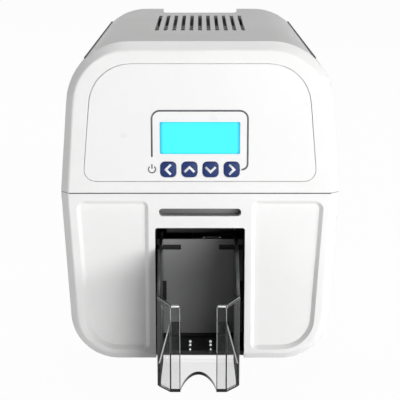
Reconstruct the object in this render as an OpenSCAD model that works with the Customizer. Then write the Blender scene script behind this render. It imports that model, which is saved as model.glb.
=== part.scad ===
/* [Case] */
// Width of the case at the seam
case_w = 216; // [206:1:226]
// Depth of the case from its face to its rear wall
case_d = 282; // [278:1:296]
// Height of the roof above the surface it stands on
case_h = 256; // [250:1:270]
// Height of the seam between the lower case and the top cover
seam_z = 139.5; // [138.5:0.5:142]
// Gap between the lower case and the top cover
seam_gap = 0.5; // [0.4:0.1:0.8]
// Radius of the upper corners of the face
top_r = 48; // [40:1:54]
// Radius of the lower corners of the face
base_r = 38; // [30:1:42]
// Lean of the upper side walls from upright, in degrees
top_lean = 4.5; // [3:0.5:6]
// Lean of the upper side walls at the rear, in degrees: the cover narrows towards the rear
rear_lean = 7; // [6:0.5:8]
// Lean of the lower side walls from upright, in degrees
base_lean = 3.2; // [2:0.2:4]
// Width of the sloped band round the front and rear faces
bevel = 6; // [4:0.5:7]
// Thickness of the side, roof and rear walls
wall = 3; // [2.5:0.1:3.5]
// Thickness of the front walls
face_wall = 5.5; // [5:0.1:6.5]

/* [Feet] */
// Height of the case above the surface
foot_h = 2.5; // [2:0.1:4]
// Radius of a rubber foot
foot_r = 8; // [6:0.5:10]
// Depth that a foot is let into the case
foot_let = 1; // [0.6:0.1:1.6]
// Distance of the feet from the sides of the case
foot_in = 56; // [52:1:64]
// Distance of the feet from the front and rear faces
foot_inset = 24; // [20:1:30]

/* [Roof vents] */
// Number of vent slots
vent_count = 11; // [7:1:13]
// Width of a vent slot
vent_w = 3.2; // [2.4:0.1:4]
// Distance between neighbouring vent slots
vent_pitch = 7.05; // [6.5:0.05:7.6]
// Length of a vent slot
vent_l = 126; // [100:1:140]
// Distance of the vent slots from the face
vent_y = 81; // [70:1:90]
// Depth of the stiffening ribs below the roof
rib_h = 5; // [3:0.5:8]
// Number of ribs that cross the vent slots
rib_count = 4; // [2:1:5]
// Distance between neighbouring ribs
rib_pitch = 16; // [12:1:20]
// Thickness of a rib
rib_t = 2; // [1.6:0.1:3]

/* [Cover shape] */
// Width of the notch at the rear of the roof
notch_w = 69.4; // [68.6:0.1:72]
// Depth of the notch at the rear of the roof
notch_d = 46.5; // [45:0.5:50]
// Radius of the two inner corners of the notch
notch_r = 7; // [4:0.5:10]
// Radius of the groove along each shoulder
groove_r = 1.2; // [0.8:0.1:1.6]
// Angle of the groove round the corner, in degrees
groove_at = 47; // [42:1:56]
// Distance of the groove's front end from the face
groove_y = 7; // [6:1:20]
// Length of the groove
groove_l = 268; // [240:1:268]

/* [Control fascia] */
// Height of the fascia's lower edge
fascia_z = 148.5; // [147:0.5:150]
// Height of the fascia itself
fascia_h = 91.5; // [86:0.5:95]
// Width of the fascia at its lower edge
fascia_w = 180.6; // [170:0.2:186]
// Radius of the fascia's upper corners
fascia_top_r = 32.5; // [26:0.5:38]
// Radius of the fascia's lower corners
fascia_base_r = 9; // [7:0.5:14]
// Thickness of the fascia
fascia_t = 2.5; // [2:0.1:3]
// Gap round the fascia
fascia_gap = 0.5; // [0.3:0.1:0.8]
// Width of the ledge that the fascia seats on
fascia_ledge = 1.8; // [1.5:0.1:2.2]
// Width of the display window
lcd_w = 61.5; // [54:0.5:66]
// Height of the display window
lcd_h = 25; // [20:0.5:28]
// Height of the display window's middle
lcd_z = 182.7; // [181:0.1:190]
// Side of a square key
key_s = 12.1; // [10:0.1:13.5]
// Corner radius of a key
key_r = 3.5; // [2:0.5:4.5]
// Distance between neighbouring keys
key_pitch = 16.24; // [15.5:0.02:17]
// Height of the keys' middle
key_z = 158.2; // [157.8:0.1:158.8]
// Travel of a key when it is pressed
key_travel = 0.8; // [0.5:0.1:1]
// Height of a key above the fascia
key_proud = 0.6; // [0.3:0.1:1]
// Gap round a key
key_gap = 0.25; // [0.2:0.05:0.4]

/* [Front] */
// Width of the hand feed slot
slot_w = 64; // [60:0.2:66]
// Height of the hand feed slot
slot_h = 6.1; // [5:0.1:6.4]
// Height of the hand feed slot's middle
slot_z = 124.1; // [123.8:0.1:125.4]
// Width of the stacker bay
bay_w = 70; // [68:0.5:72]
// Height of the bay opening's upper edge
bay_top = 111.6; // [110.5:0.1:112.4]
// Depth of the stacker bay
bay_d = 45; // [44:0.5:48]
// Height of the bay's back plate
bay_back_h = 90.7; // [88:0.1:92]
// Sideways distance of a face recess from the middle
recess_x = 40; // [39:0.1:41]
// Width of a face recess at its upper edge
recess_w = 56.1; // [50:0.1:57]
// Height of a face recess's upper edge
recess_top = 133.2; // [131:0.1:134]
// Height of a face recess's lower edge
recess_base = 11.8; // [11:0.1:15]
// Radius of a recess's outer lower corner
recess_r = 26; // [22:1:32]
// Sideways run of a recess's sloped walls
recess_slope = 3; // [1:0.1:3.4]
// Depth of a face recess
recess_d = 3; // [2:0.1:3.4]

/* [Stacker tray] */
// Width of the tray
tray_w = 62.2; // [61:0.1:63]
// Sideways place of the tray's middle
tray_x = -1.2; // [-1.6:0.1:1.6]
// Reach of the tray in front of the face
tray_out = 62; // [58:0.5:70]
// Wall thickness of the tray
tray_t = 2.6; // [2:0.1:2.8]
// Height of the front posts' upper ends
post_top = 68.5; // [64:0.5:72]
// Width of a front post
post_w = 7; // [6:0.2:9]
// Gap between the two front posts
post_gap = 27; // [25:0.5:29]
// Length of the finger cut in the tray's floor
tray_cut = 36; // [30:0.5:40]
// Depth of the tray's chamfered front corners
tray_corner = 13; // [10:0.5:16]
// Radius of the edge between a side wall and a chamfered corner
tray_r = 4; // [3:0.5:6]
// Height of the side walls at the rear of the tray
tray_rear_top = 89; // [84:0.5:90]
// Thickness of the rail over each corner window
rail_t = 2; // [1.6:0.1:2.6]
// Distance that the tray slides out
tray_travel = 90; // [60:1:110]

/* [Card path] */
// Length of a card
card_l = 85.6; // [85:0.1:86.2]
// Width of a card
card_w = 54; // [53.6:0.1:54.4]
// Thickness of a card
card_t = 0.8; // [0.5:0.05:1]
// Height of the card path
card_z = 104; // [103:0.5:104.5]
// Radius of a rubber roller
roller_r = 7; // [6.5:0.1:7.4]
// Radius of a roller's shaft
shaft_r = 3; // [2.5:0.1:3.4]
// Running clearance of shafts and pins in their bores
run_gap = 0.05; // [0.03:0.01:0.08]
// Tooth module of the gears
gear_m = 1; // [0.9:0.02:1.02]
// Teeth of a roller gear
roller_teeth = 20; // [18:2:20]
// Teeth of an idler gear
idler_teeth = 36; // [32:4:36]
// Teeth of the motor pinion
pinion_teeth = 12; // [12:4:16]
// Width of a gear
gear_w = 5; // [4:0.5:6]
// Play between meshing teeth
backlash = 0.3; // [0.2:0.05:0.4]
// Radius of the pins that carry the idler gears
idler_pin_r = 2; // [1.6:0.1:2.4]

/* [Chassis] */
// Clear width between the side plates
chassis_w = 82; // [81.4:0.1:82]
// Thickness of a side plate
plate_t = 2.5; // [2:0.1:2.7]
// Thickness of the base plate
base_t = 2; // [1.5:0.1:3]

/* [Hinge] */
// Distance of the hinge axis from the rear face
hinge_in = 9; // [8.6:0.1:9.6]
// Height of the hinge axis above the seam
hinge_up = 9; // [8.6:0.1:9.6]
// Radius of the hinge pins
hinge_pin_r = 2.5; // [2:0.1:2.8]
// Radius of the hinge eyes
hinge_eye_r = 5; // [4.6:0.1:5.4]

/* [Ribbon] */
// Radius of the full supply roll
supply_r = 17; // [12:0.5:18]
// Radius of the take-up roll
takeup_r = 10; // [8:0.5:11]
// Radius of a spool's core
core_r = 6; // [5.5:0.1:7]
// Width of the ribbon
ribbon_w = 62; // [60:0.5:66]
// Height of the spool axes
spool_z = 131; // [129:0.5:131.5]

/* [Card feeder] */
// Reach of the feeder behind the rear face
feeder_out = 106; // [104:1:120]
// Height of the feeder's closed lid
feeder_top = 192; // [186:1:194]
// Width of the feeder's base
feeder_w = 114; // [112:1:124]
// Height of the feeder's underside
feeder_z = 78; // [74:0.5:80]
// Wall thickness of the feeder
feeder_t = 3; // [2.5:0.1:3.4]
// Clearance round the cards in the hopper
card_gap = 0.45; // [0.3:0.05:0.7]
// Thickness of the feeder's lid
feeder_lid_t = 3; // [2.4:0.1:3.6]

/* [Rear panel] */
// Side of the cooling fan
fan_s = 40; // [36:1:42]
// Thickness of the cooling fan
fan_t = 12; // [10:0.5:15]
// Distance of the fan's middle from the side of the case
fan_in = 35; // [34:0.5:38]
// Height of the fan's middle
fan_z = 50; // [44:0.5:52]
// Distance of the power inlet's middle from the side of the case
inlet_in = 34; // [32:0.5:38]
// Height of the power inlet's middle
inlet_z = 50; // [44:0.5:56]

/* [Hidden] */
$fn = 48;
eps = 0.01;

total_l = tray_out + case_d + feeder_out;
origin_y = tray_out - total_l / 2;

// Heights and places that follow from the sizes above, measured from the face and the floor.
lower_top = seam_z - seam_gap / 2;
cover_base = seam_z + seam_gap / 2;
fan_x = case_w / 2 - fan_in;
inlet_x = inlet_in - case_w / 2;
foot_x = case_w / 2 - foot_in;
hinge_y = case_d - hinge_in;
hinge_z = seam_z + hinge_up;
hinge_clear_r = norm([hinge_in, hinge_up]);
plate_in = chassis_w / 2;
plate_out = plate_in + plate_t;
floor_top = foot_h + wall;
base_top = floor_top + base_t;

// Card path: the rollers are spaced by the gears that join them.
roller_gear_r = gear_m * roller_teeth / 2;
idler_gear_r = gear_m * idler_teeth / 2;
pinion_gear_r = gear_m * pinion_teeth / 2;
roller_pitch = 2 * (roller_gear_r + idler_gear_r);
pick_y = case_d + 10;
infeed_y = pick_y - roller_pitch;
feed_y = pick_y - 2 * roller_pitch;
platen_y = pick_y - 3 * roller_pitch;
exit_y = pick_y - 4 * roller_pitch;
idler_offset = roller_gear_r + idler_gear_r;
roller_z = card_z - roller_r;
gear_x = -plate_out - 2 - gear_w;
motor_y = platen_y + idler_offset;
motor_z = roller_z - idler_gear_r - pinion_gear_r;
motor_s = 35;
motor_l = 34;
roller_half = card_w / 2 + 0.5;
bed_top = card_z - 0.4;
bed_t = 2.6;
bed_front = exit_y - 6;
bed_back = case_d - wall - 1;

// Face and bay.
bay_half = bay_w / 2;
liner_t = 2;
liner_out = bay_half + liner_t;
slot_half = slot_w / 2;

// Cover details.
notch_y = case_d - notch_d;
notch_half = notch_w / 2;
liner_z = 158.5;
lid_liner_t = 2.5;

// Outline of one half of a leaning wall that rounds into a flat crown, as [x, height over the seam].
function crown_x(h, lean, r) = case_w / 2 - (r + sin(lean) * (h - r)) / cos(lean);
function half_outline(h, lean, r, inset, drop) =
    let (cx = crown_x(h, lean, r))
    concat(
        [[case_w / 2 - inset / cos(lean) + drop * tan(lean), -drop]],
        [for (k = [0 : arc_steps])
            let (a = lean + (90 - lean) * k / arc_steps)
            [cx + (r - inset) * cos(a), h - r + (r - inset) * sin(a)]]
    );
arc_steps = 12;
function mirrored(half, side) =
    concat([for (p = half) [side * p[0], p[1]]],
           [for (k = [len(half) - 1 : -1 : 0]) [-side * half[k][0], half[k][1]]]);
function lean_at(y) = top_lean + (rear_lean - top_lean) * y / case_d;
function cover_ring(inset, y, drop) =
    [for (p = mirrored(half_outline(case_h - seam_z, lean_at(y), top_r, inset, drop), -1))
        [p[0], y, seam_z + p[1]]];
function case_ring(inset, y, drop) =
    [for (p = mirrored(half_outline(seam_z - foot_h, base_lean, base_r, inset, drop), 1)) [p[0], y,
        seam_z - p[1]]];

// Sloped band with softened edges, as [inset, distance from the face].
soft = 1.2;
function bezier(a, b, c, t) = (1 - t) * (1 - t) * a + 2 * t * (1 - t) * b + t * t * c;
function band(b) = concat(
    [for (t = [0 : 0.5 : 1]) bezier([b + soft, 0], [b, 0], [b - 0.7 * soft, 0.7 * soft], t)],
    [for (t = [0 : 0.5 : 1]) bezier([0.7 * soft, b - 0.7 * soft], [0, b], [0, b + soft], t)]
);
function case_stations(y0, y1, b, inset) = concat(
    [for (p = band(b)) [p[0] + inset, y0 + p[1]]],
    [for (k = [5 : -1 : 0]) [band(b)[k][0] + inset, y1 - band(b)[k][1]]]
);

// Closed skin over rings of points that run along the depth.
module loft(rings) {
    n = len(rings[0]);
    m = len(rings);
    polyhedron(
        points = [for (ring = rings) each ring],
        faces = concat(
            [[for (i = [0 : n - 1]) i]],
            [for (k = [0 : m - 2], i = [0 : n - 1])
                [k * n + i, (k + 1) * n + i, (k + 1) * n + (i + 1) % n, k * n + (i + 1) % n]],
            [[for (i = [n - 1 : -1 : 0]) (m - 1) * n + i]]
        ),
        convexity = 8
    );
}

// Polygon whose corners [x, y, radius] are rounded by arcs.
function unit(v) = v / norm(v);
function corner_arc(p, c, q, r, steps) =
    let (
        a = unit([p[0] - c[0], p[1] - c[1]]),
        b = unit([q[0] - c[0], q[1] - c[1]]),
        half = acos(max(-1, min(1, a * b))) / 2,
        centre = [c[0], c[1]] + unit(a + b) * r / sin(half),
        start = [c[0], c[1]] + a * r / tan(half) - centre,
        end = [c[0], c[1]] + b * r / tan(half) - centre,
        a0 = atan2(start[1], start[0]),
        turn = atan2(start[0] * end[1] - start[1] * end[0], start * end)
    )
    [for (k = [0 : steps]) centre + r * [cos(a0 + turn * k / steps), sin(a0 + turn * k / steps)]];
function rounded(corners, steps = 6) =
    let (n = len(corners))
    [for (i = [0 : n - 1])
        each (corners[i][2] == 0
            ? [[corners[i][0], corners[i][1]]]
            : corner_arc(corners[(i + n - 1) % n], corners[i], corners[(i + 1) % n], corners[i][2], steps))];
function box_corners(x0, y0, x1, y1, r) = [[x0, y0, r], [x1, y0, r], [x1, y1, r], [x0, y1, r]];

// Prisms: a profile in X and Z drawn along Y, one in Y and Z drawn along X, and a box between two corners.
module along_y(y, l) {
    translate([0, y + l, 0]) rotate([90, 0, 0]) linear_extrude(l) children();
}
module along_x(x, l) {
    translate([x, 0, 0]) rotate([90, 0, 90]) linear_extrude(l) children();
}
module box(a, b) {
    translate(a) cube(b - a);
}
module rod_x(x0, x1, y, z, r, sides = 48) {
    translate([x0, y, z]) rotate([0, 90, 0]) cylinder(r = r, h = x1 - x0, $fn = sides);
}
module rod_y(x, y0, y1, z, r, sides = 48) {
    translate([x, y1, z]) rotate([90, 0, 0]) cylinder(r = r, h = y1 - y0, $fn = sides);
}
module both_sides() {
    children();
    mirror([1, 0, 0]) children();
}

// Involute gear profile with a tooth centred on +X, thinned for play.
function involute(a) = tan(a) * 180 / PI - a;
function tooth_half(r, rp, teeth) =
    let (rb = rp * cos(20), a = r > rb ? acos(rb / r) : 0)
    90 / teeth + involute(20) - involute(a) - backlash / 4 / rp * 180 / PI;
function gear_points(teeth) =
    let (
        rp = gear_m * teeth / 2,
        radii = [rp - 1.25 * gear_m, rp - 0.5 * gear_m, rp, rp + gear_m]
    )
    [for (t = [0 : teeth - 1])
        each concat(
            [for (k = [0 : 3]) let (a = t * 360 / teeth - tooth_half(radii[k], rp,
                teeth)) radii[k] * [cos(a), sin(a)]],
            [for (k = [3 : -1 : 0]) let (a = t * 360 / teeth + tooth_half(radii[k], rp,
                teeth)) radii[k] * [cos(a), sin(a)]]
        )];

// Gear on the drive side at one place of the card path; gears turn about X.
module roller_gear(y) {
    color("ivory") difference() {
        translate([0, y, roller_z]) along_x(gear_x, gear_w) polygon(gear_points(roller_teeth));
        rod_x(gear_x - 1, gear_x + gear_w + 1, y, roller_z, shaft_r);
    }
}

module idler(y) {
    web = 1.5;
    color("ivory") difference() {
        translate([0, y, roller_z]) along_x(gear_x, gear_w) rotate(180 / idler_teeth)
            polygon(gear_points(idler_teeth));
        for (x = [gear_x - 1, gear_x + gear_w - web])
            difference() {
                rod_x(x, x + web + 1, y, roller_z, idler_gear_r - 3);
                rod_x(x - 1, x + web + 2, y, roller_z, idler_pin_r + 2.5);
            }
        rod_x(gear_x - 1, gear_x + gear_w + 1, y, roller_z, idler_pin_r + run_gap);
    }
}

// Driven roller: a rubber sleeve on a steel shaft that runs in both side plates.
module driven_roller(y) {
    color("dimgray") union() {
        rod_x(-roller_half, roller_half, y, roller_z, roller_r);
        rod_x(gear_x - 1, plate_out + 2, y, roller_z, shaft_r);
    }
}

module lower_case() {
    outer = [for (s = case_stations(0, case_d, bevel, 0)) case_ring(s[0], s[1], 0)];
    inner = [for (s = [[bevel * 0.6 + wall, face_wall], [wall, face_wall + bevel * 0.6],
                       [wall, case_d - wall - bevel * 0.6], [bevel * 0.6 + wall, case_d - wall]])
        case_ring(s[0], s[1], 1)];
    color("white") difference() {
        loft(outer);
        loft(inner);
        box([-case_w, -1, lower_top], [case_w, case_d + 1, seam_z + 1]);
        // Hand feed slot
        along_y(-1, face_wall + 2)
            polygon(rounded(box_corners(-slot_half, slot_z - slot_h / 2, slot_half, slot_z + slot_h / 2,
                                        slot_h / 2 - 0.1)));
        // Stacker bay
        along_y(-1, face_wall + 2)
            polygon(rounded([[-bay_half, floor_top, 0], [bay_half, floor_top, 0],
                             [bay_half, bay_top, 2], [-bay_half, bay_top, 2]]));
        // Recesses of the face
        both_sides() loft([for (y = [-1, recess_d])
            [for (p = recess_outline(y * recess_slope / recess_d)) [p[0], y, p[1]]]]);
        // Notch in the sill under the bay
        box([-bay_half, -1, foot_h - 1], [bay_half, sill_in, floor_top + eps]);
        // Seat of the bay liner
        box([-liner_out, face_wall - eps, floor_top], [liner_out, face_wall + bevel, bay_top]);
        // Room for the cover's rear edge as it turns
        both_sides() rod_x(hood_half, case_w, hinge_y, hinge_z, hinge_clear_r + seam_gap);
        // Mouth of the card feeder
        box([gear_x - 4, case_d - wall - 1, roller_z - 15], [-gear_x + 4, case_d + 1, roller_z + 16]);
        // Fan guard
        for (k = [-3 : 3])
            box([fan_x - guard_half(k), case_d - wall - 1, fan_z + k * 4.6 - 1.2],
                [fan_x + guard_half(k), case_d + 1, fan_z + k * 4.6 + 1.2]);
        // Power inlet and sockets
        box([inlet_x - inlet_w / 2, case_d - wall - 1, inlet_z - inlet_h / 2],
            [inlet_x + inlet_w / 2, case_d + 1, inlet_z + inlet_h / 2]);
        for (s = [[usb_x, usb_w, usb_h], [net_x, net_w, net_h]])
            box([s[0] - s[1] / 2 - 0.3, case_d - wall - 1, socket_z - 0.3],
                [s[0] + s[1] / 2 + 0.3, case_d + 1, socket_z + s[2] + 0.3]);
        // Seats of the feet
        feet(foot_r + 0.2, foot_h + foot_let);
    }
}
function guard_half(k) = sqrt(pow(fan_s / 2 - 2, 2) - pow(k * 4.6, 2));
function recess_outline(inset) = rounded([
    [recess_x + inset, recess_top - inset, 5 - inset],
    [recess_x + recess_w - inset, recess_top - inset, 7 - inset],
    [recess_x + recess_w - 0.06 * (recess_top - recess_base) - inset, recess_base + inset, recess_r - inset],
    [recess_x + inset, recess_base + inset, 5 - inset]
], 8);
sill_in = 12;
inlet_w = 30;
inlet_h = 24;
socket_z = base_top + 6 + 1.6;
usb_x = -14;
usb_w = 12;
usb_h = 11;
net_x = 12;
net_w = 16;
net_h = 13.5;

module feet(r, h) {
    for (x = [-foot_x, foot_x], y = [foot_inset, case_d - foot_inset])
        translate([x, y, 0]) cylinder(r = r, h = h);
}

module rubber_feet() {
    color("dimgray") difference() {
        feet(foot_r, foot_h + foot_let);
        for (x = [-foot_x, foot_x], y = [foot_inset, case_d - foot_inset])
            translate([x, y, -1]) cylinder(r = foot_r / 3, h = 2);
    }
}

base_front = bay_d + liner_t + 2;
base_half = 56;
module base_plate() {
    color("silver") difference() {
        box([-base_half, base_front, floor_top], [base_half, case_d - wall - 5, base_top]);
        for (y = [base_front + 30 : 38 : case_d - 60])
            box([-24, y, floor_top - 1], [24, y + 22, base_top + 1]);
    }
}

chute_back = exit_y - roller_r - 3;
chute_t = 2;
// Lip of the liner's floor that closes the notch in the sill
sill_t = 3;
sill_drop = 1.5;
function chute(y, up) =
    let (slot_low = slot_z - slot_h / 2)
    slot_low + up - (slot_low - card_z) * (y - face_wall) / (chute_back - face_wall);
module bay_liner() {
    z0 = floor_top;
    y0 = face_wall;
    color([0.16, 0.16, 0.17]) difference() {
        union() {
            both_sides() box([bay_half, y0, z0], [liner_out, bay_d + liner_t, bay_top]);
            box([-bay_half, sill_in - sill_t, z0], [bay_half, bay_d, z0 + liner_t]);
            box([-bay_half + 0.3, sill_in - sill_t, z0 - sill_drop], [bay_half - 0.3, sill_in - 0.3,
                z0 + eps]);
            box([-bay_half, bay_d, z0], [bay_half, bay_d + liner_t, bay_back_h]);
            // Chute of the hand feed slot
            along_x(-liner_out, 2 * liner_out)
                polygon([[y0, chute(y0, -chute_t)], [y0, chute(y0, 0)], [chute_back, chute(chute_back, 0)],
                         [chute_back, chute(chute_back, -chute_t)]]);
            both_sides() along_x(slot_half, liner_out - slot_half)
                polygon([[y0, chute(y0, -chute_t)], [y0, chute(y0, slot_h + chute_t)],
                         [chute_back, chute(chute_back, 5)], [chute_back, chute(chute_back, -chute_t)]]);
            along_x(-liner_out, 2 * liner_out)
                polygon([[y0, chute(y0, slot_h)], [y0, chute(y0, slot_h + chute_t)],
                         [chute_back, chute(chute_back, 5)], [chute_back, chute(chute_back, 3.4)]]);
        }
        // Windows and notches of the back plate
        both_sides() box([15.5, bay_d - 1, bay_back_h - 8.9], [bay_half - 1.5, bay_d + 1, bay_back_h - 4.7]);
        both_sides() box([27.4, bay_d - 1, 38], [bay_half - 1, bay_d + 1, 55.3]);
    }
}

// Side plate: foot flange, bearing bores, spool slots and the ear that carries the cover's hinge.
plate_front = exit_y - 14;
plate_back = hinge_y - 15;
plate_top = spool_z + 4;
tongue_back = pick_y + 8;
supply_y = platen_y + 38;
takeup_y = exit_y + 18;
module side_plate_profile() {
    difference() {
        union() {
            polygon(rounded([
                [plate_front, base_top, 0], [plate_back, base_top, 0], [plate_back, roller_z - 12, 3],
                [tongue_back, roller_z - 8, 3], [tongue_back, roller_z + 6, 3], [plate_back,
                    roller_z + 12, 3],
                [plate_back, plate_top, 4], [plate_front + 12, plate_top, 6], [plate_front, roller_z + 8, 6]
            ]));
            hull() {
                translate([hinge_y, hinge_z]) circle(hinge_eye_r);
                translate([hinge_y - 17, hinge_z - 8]) circle(hinge_eye_r);
            }
            hull() {
                translate([hinge_y - 17, hinge_z - 8]) circle(hinge_eye_r);
                translate([hinge_y - 22, plate_top - 14]) circle(hinge_eye_r + 3);
            }
        }
        // Lightening windows
        for (y = [plate_front + 14, motor_y + 30, motor_y + 72])
            polygon(rounded(box_corners(y, base_top + 12, y + 30, roller_z - 24, 6)));
    }
}
module side_plate() {
    difference() {
        union() {
            along_x(plate_in, plate_t) side_plate_profile();
            box([plate_out - eps, plate_front + 6, base_top], [plate_out + 9, plate_back - 6,
                base_top + plate_t]);
        }
        for (y = [exit_y, platen_y, feed_y, infeed_y, pick_y])
            rod_x(plate_in - 1, plate_out + 1, y, roller_z, shaft_r + run_gap);
        rod_x(plate_in - 1, plate_out + 1, infeed_y, cleaner_z, shaft_r - 1 + run_gap);
        rod_x(plate_in - 1, plate_out + 1, hinge_y, hinge_z, hinge_pin_r + run_gap);
        for (y = [supply_y, takeup_y]) {
            rod_x(plate_in - 1, plate_out + 1, y, spool_z, journal_r + run_gap);
            box([plate_in - 1, y - journal_r - run_gap, spool_z],
                [plate_out + 1, y + journal_r + run_gap, plate_top + 1]);
        }
    }
}
journal_r = 4;
cleaner_r = 6;
cleaner_z = card_z + card_t + 0.4 + cleaner_r;
module chassis_left() {
    color("silver") mirror([1, 0, 0]) {
        difference() {
            side_plate();
            rod_x(plate_in - 1, plate_out + 1, motor_y, motor_z, pinion_gear_r);
        }
        for (y = [exit_y, platen_y, feed_y, infeed_y])
            rod_x(plate_out - eps, -gear_x + 1, y + idler_offset, roller_z, idler_pin_r);
    }
}
module chassis_right() {
    color("silver") side_plate();
}

module card_bed() {
    rail = 2;
    rail_x = card_w / 2 + 0.8;
    color("dimgray") difference() {
        union() {
            box([-plate_in, bed_front, bed_top - bed_t], [plate_in, bed_back, bed_top]);
            both_sides() {
                box([rail_x, exit_y + 12, bed_top - eps], [rail_x + rail, platen_y - 18, bed_top + 3]);
                box([rail_x, platen_y + 18, bed_top - eps], [rail_x + rail, infeed_y - 12, bed_top + 3]);
                box([rail_x, infeed_y + 12, bed_top - eps], [rail_x + rail, bed_back, bed_top + 3]);
            }
            for (y = [exit_y + idler_offset, feed_y - idler_offset, feed_y + idler_offset])
                box([-plate_in, y - 1.5, bed_top - bed_t - 6], [plate_in, y + 1.5, bed_top - bed_t + eps]);
        }
        for (y = [exit_y, platen_y, feed_y, infeed_y])
            box([-roller_half - 1.5, y - roller_r - 1.5, bed_top - bed_t - 1],
                [roller_half + 1.5, y + roller_r + 1.5, bed_top + 1]);
    }
}

// Hood behind the notch, curved round the hinge axis so that the cover clears it.
hood_half = notch_half - 0.7;
hood_t = 2.5;
hood_out = notch_d - hinge_in - 1.2;
hood_leg = 18;
module hood_body(r, half, corner) {
    translate([0, hinge_y, hinge_z]) rotate([0, 90, 0]) rotate_extrude($fn = 96)
        polygon(rounded([[0, -half, 0], [r, -half, corner], [r, half, corner], [0, half, 0]]));
}
module rear_hood() {
    color("white") union() {
        intersection() {
            difference() {
                hood_body(hood_out, hood_half, notch_r);
                hood_body(hood_out - hood_t, hood_half - hood_t, notch_r - hood_t);
            }
            box([-notch_half, notch_y - 1, lower_top], [notch_half, case_d, hinge_z + hood_out + 1]);
        }
        both_sides() box([hood_half - hood_t, bed_back - hood_leg, bed_top], [hood_half, bed_back - 2,
            lower_top + 4]);
    }
}

board_z = base_top + 6;
board_t = 1.6;
board_front = base_front + 12;
module main_board() {
    color("seagreen") difference() {
        union() {
            box([-36, board_front, board_z], [36, case_d - wall - 7, board_z + board_t]);
            for (x = [-32, 32], y = [board_front + 5, case_d - wall - 13])
                translate([x, y, base_top]) cylinder(r = 2.5, h = board_z - base_top + eps);
            // Processor, memory, coils and capacitors
            box([-14, board_front + 60, board_z + board_t - eps], [4, board_front + 78,
                board_z + board_t + 2]);
            box([12, board_front + 62, board_z + board_t - eps], [24, board_front + 72,
                board_z + board_t + 1.4]);
            box([-30, board_front + 30, board_z + board_t - eps], [-18, board_front + 42,
                board_z + board_t + 6]);
            for (k = [0 : 3])
                translate([-28 + 11 * k, board_front + 14, board_z + board_t - eps]) cylinder(r = 4, h = 12);
            for (k = [0 : 2])
                box([18, board_front + 96 + 14 * k, board_z + board_t - eps],
                    [30, board_front + 104 + 14 * k, board_z + board_t + 8]);
        }
    }
}
module usb_socket() {
    color("silver") difference() {
        box([usb_x - usb_w / 2, case_d - 18, socket_z], [usb_x + usb_w / 2, case_d + 0.5, socket_z + usb_h]);
        box([usb_x - 4.2, case_d - 10, socket_z + 1.6], [usb_x + 4.2, case_d + 1, socket_z + 9.2]);
    }
}
module network_socket() {
    color("silver") difference() {
        box([net_x - net_w / 2, case_d - 20, socket_z], [net_x + net_w / 2, case_d + 0.5, socket_z + net_h]);
        box([net_x - 6, case_d - 13, socket_z + 3], [net_x + 6, case_d + 1, socket_z + 10]);
        box([net_x - 3, case_d - 13, socket_z + 1.4], [net_x + 3, case_d + 1, socket_z + 3.1]);
    }
}

// Power inlet with a round jack and the well of the rocker switch.
jack_x = inlet_x + 8.5;
rocker_x = inlet_x - 5.5;
rocker_w = 13;
rocker_h = 18;
inlet_d = 18;
module power_inlet() {
    color([0.12, 0.12, 0.13]) difference() {
        union() {
            box([inlet_x - inlet_w / 2 + 0.2, case_d - inlet_d, inlet_z - inlet_h / 2 + 0.2],
                [inlet_x + inlet_w / 2 - 0.2, case_d - 0.3, inlet_z + inlet_h / 2 - 0.2]);
            box([inlet_x - inlet_w / 2 - 1.5, case_d - wall - 1.5, inlet_z - inlet_h / 2 - 1.5],
                [inlet_x + inlet_w / 2 + 1.5, case_d - wall, inlet_z + inlet_h / 2 + 1.5]);
        }
        difference() {
            rod_y(jack_x, case_d - 10, case_d + 1, inlet_z, 3.2);
            rod_y(jack_x, case_d - 10 - eps, case_d - 2, inlet_z, 0.9);
        }
        box([rocker_x - rocker_w / 2, case_d - 12, inlet_z - rocker_h / 2],
            [rocker_x + rocker_w / 2, case_d + 1, inlet_z + rocker_h / 2]);
        rod_x(rocker_x - rocker_w / 2 - 1.2, rocker_x + rocker_w / 2 + 1.2, rocker_y, inlet_z, 1 + run_gap);
    }
}
rocker_y = case_d - 5;
rocker_tilt = 8;
module power_rocker() {
    half = rocker_h / 2 - 1.2;
    color("black") translate([0, rocker_y, inlet_z]) rotate([-rocker_tilt, 0, 0]) union() {
        along_x(rocker_x - rocker_w / 2 + 0.5, rocker_w - 1)
            polygon([[-2.5, -4], [3.4, -half], [2.6, 0], [3.4, half], [-2.5, 4]]);
        rod_x(rocker_x - rocker_w / 2 - 1, rocker_x + rocker_w / 2 + 1, 0, 0, 1);
    }
}

fan_y0 = case_d - wall - fan_t;
module fan_frame() {
    color([0.15, 0.15, 0.16]) union() {
        difference() {
            along_y(fan_y0, fan_t)
                polygon(rounded(box_corners(fan_x - fan_s / 2, fan_z - fan_s / 2, fan_x + fan_s / 2,
                                            fan_z + fan_s / 2, 3)));
            rod_y(fan_x, fan_y0 - 1, case_d, fan_z, fan_s / 2 - 1.5);
        }
        rod_y(fan_x, fan_y0, fan_y0 + 2.4, fan_z, 6);
        rod_y(fan_x, fan_y0, fan_y0 + 6, fan_z, 1.5);
        for (a = [45 : 90 : 315])
            translate([fan_x, fan_y0, fan_z]) rotate([0, -a, 0]) box([5, 0, -1], [fan_s / 2 - 1, 2, 1]);
    }
}
module fan_rotor() {
    blades = 7;
    color([0.2, 0.2, 0.21]) difference() {
        union() {
            rod_y(fan_x, fan_y0 + 2.7, fan_y0 + fan_t - 1, fan_z, 7.5);
            for (k = [0 : blades - 1])
                translate([fan_x, fan_y0 + 3.2, fan_z]) rotate([0, -k * 360 / blades, 0])
                    along_x(6.8, fan_s / 2 - 2.3 - 6.8)
                        polygon([[0, -2.6], [0.9, -2.6], [6.6, 2.6], [5.7, 2.6]]);
        }
        rod_y(fan_x, fan_y0 + 2, fan_y0 + 7, fan_z, 1.5 + run_gap);
    }
}

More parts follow.
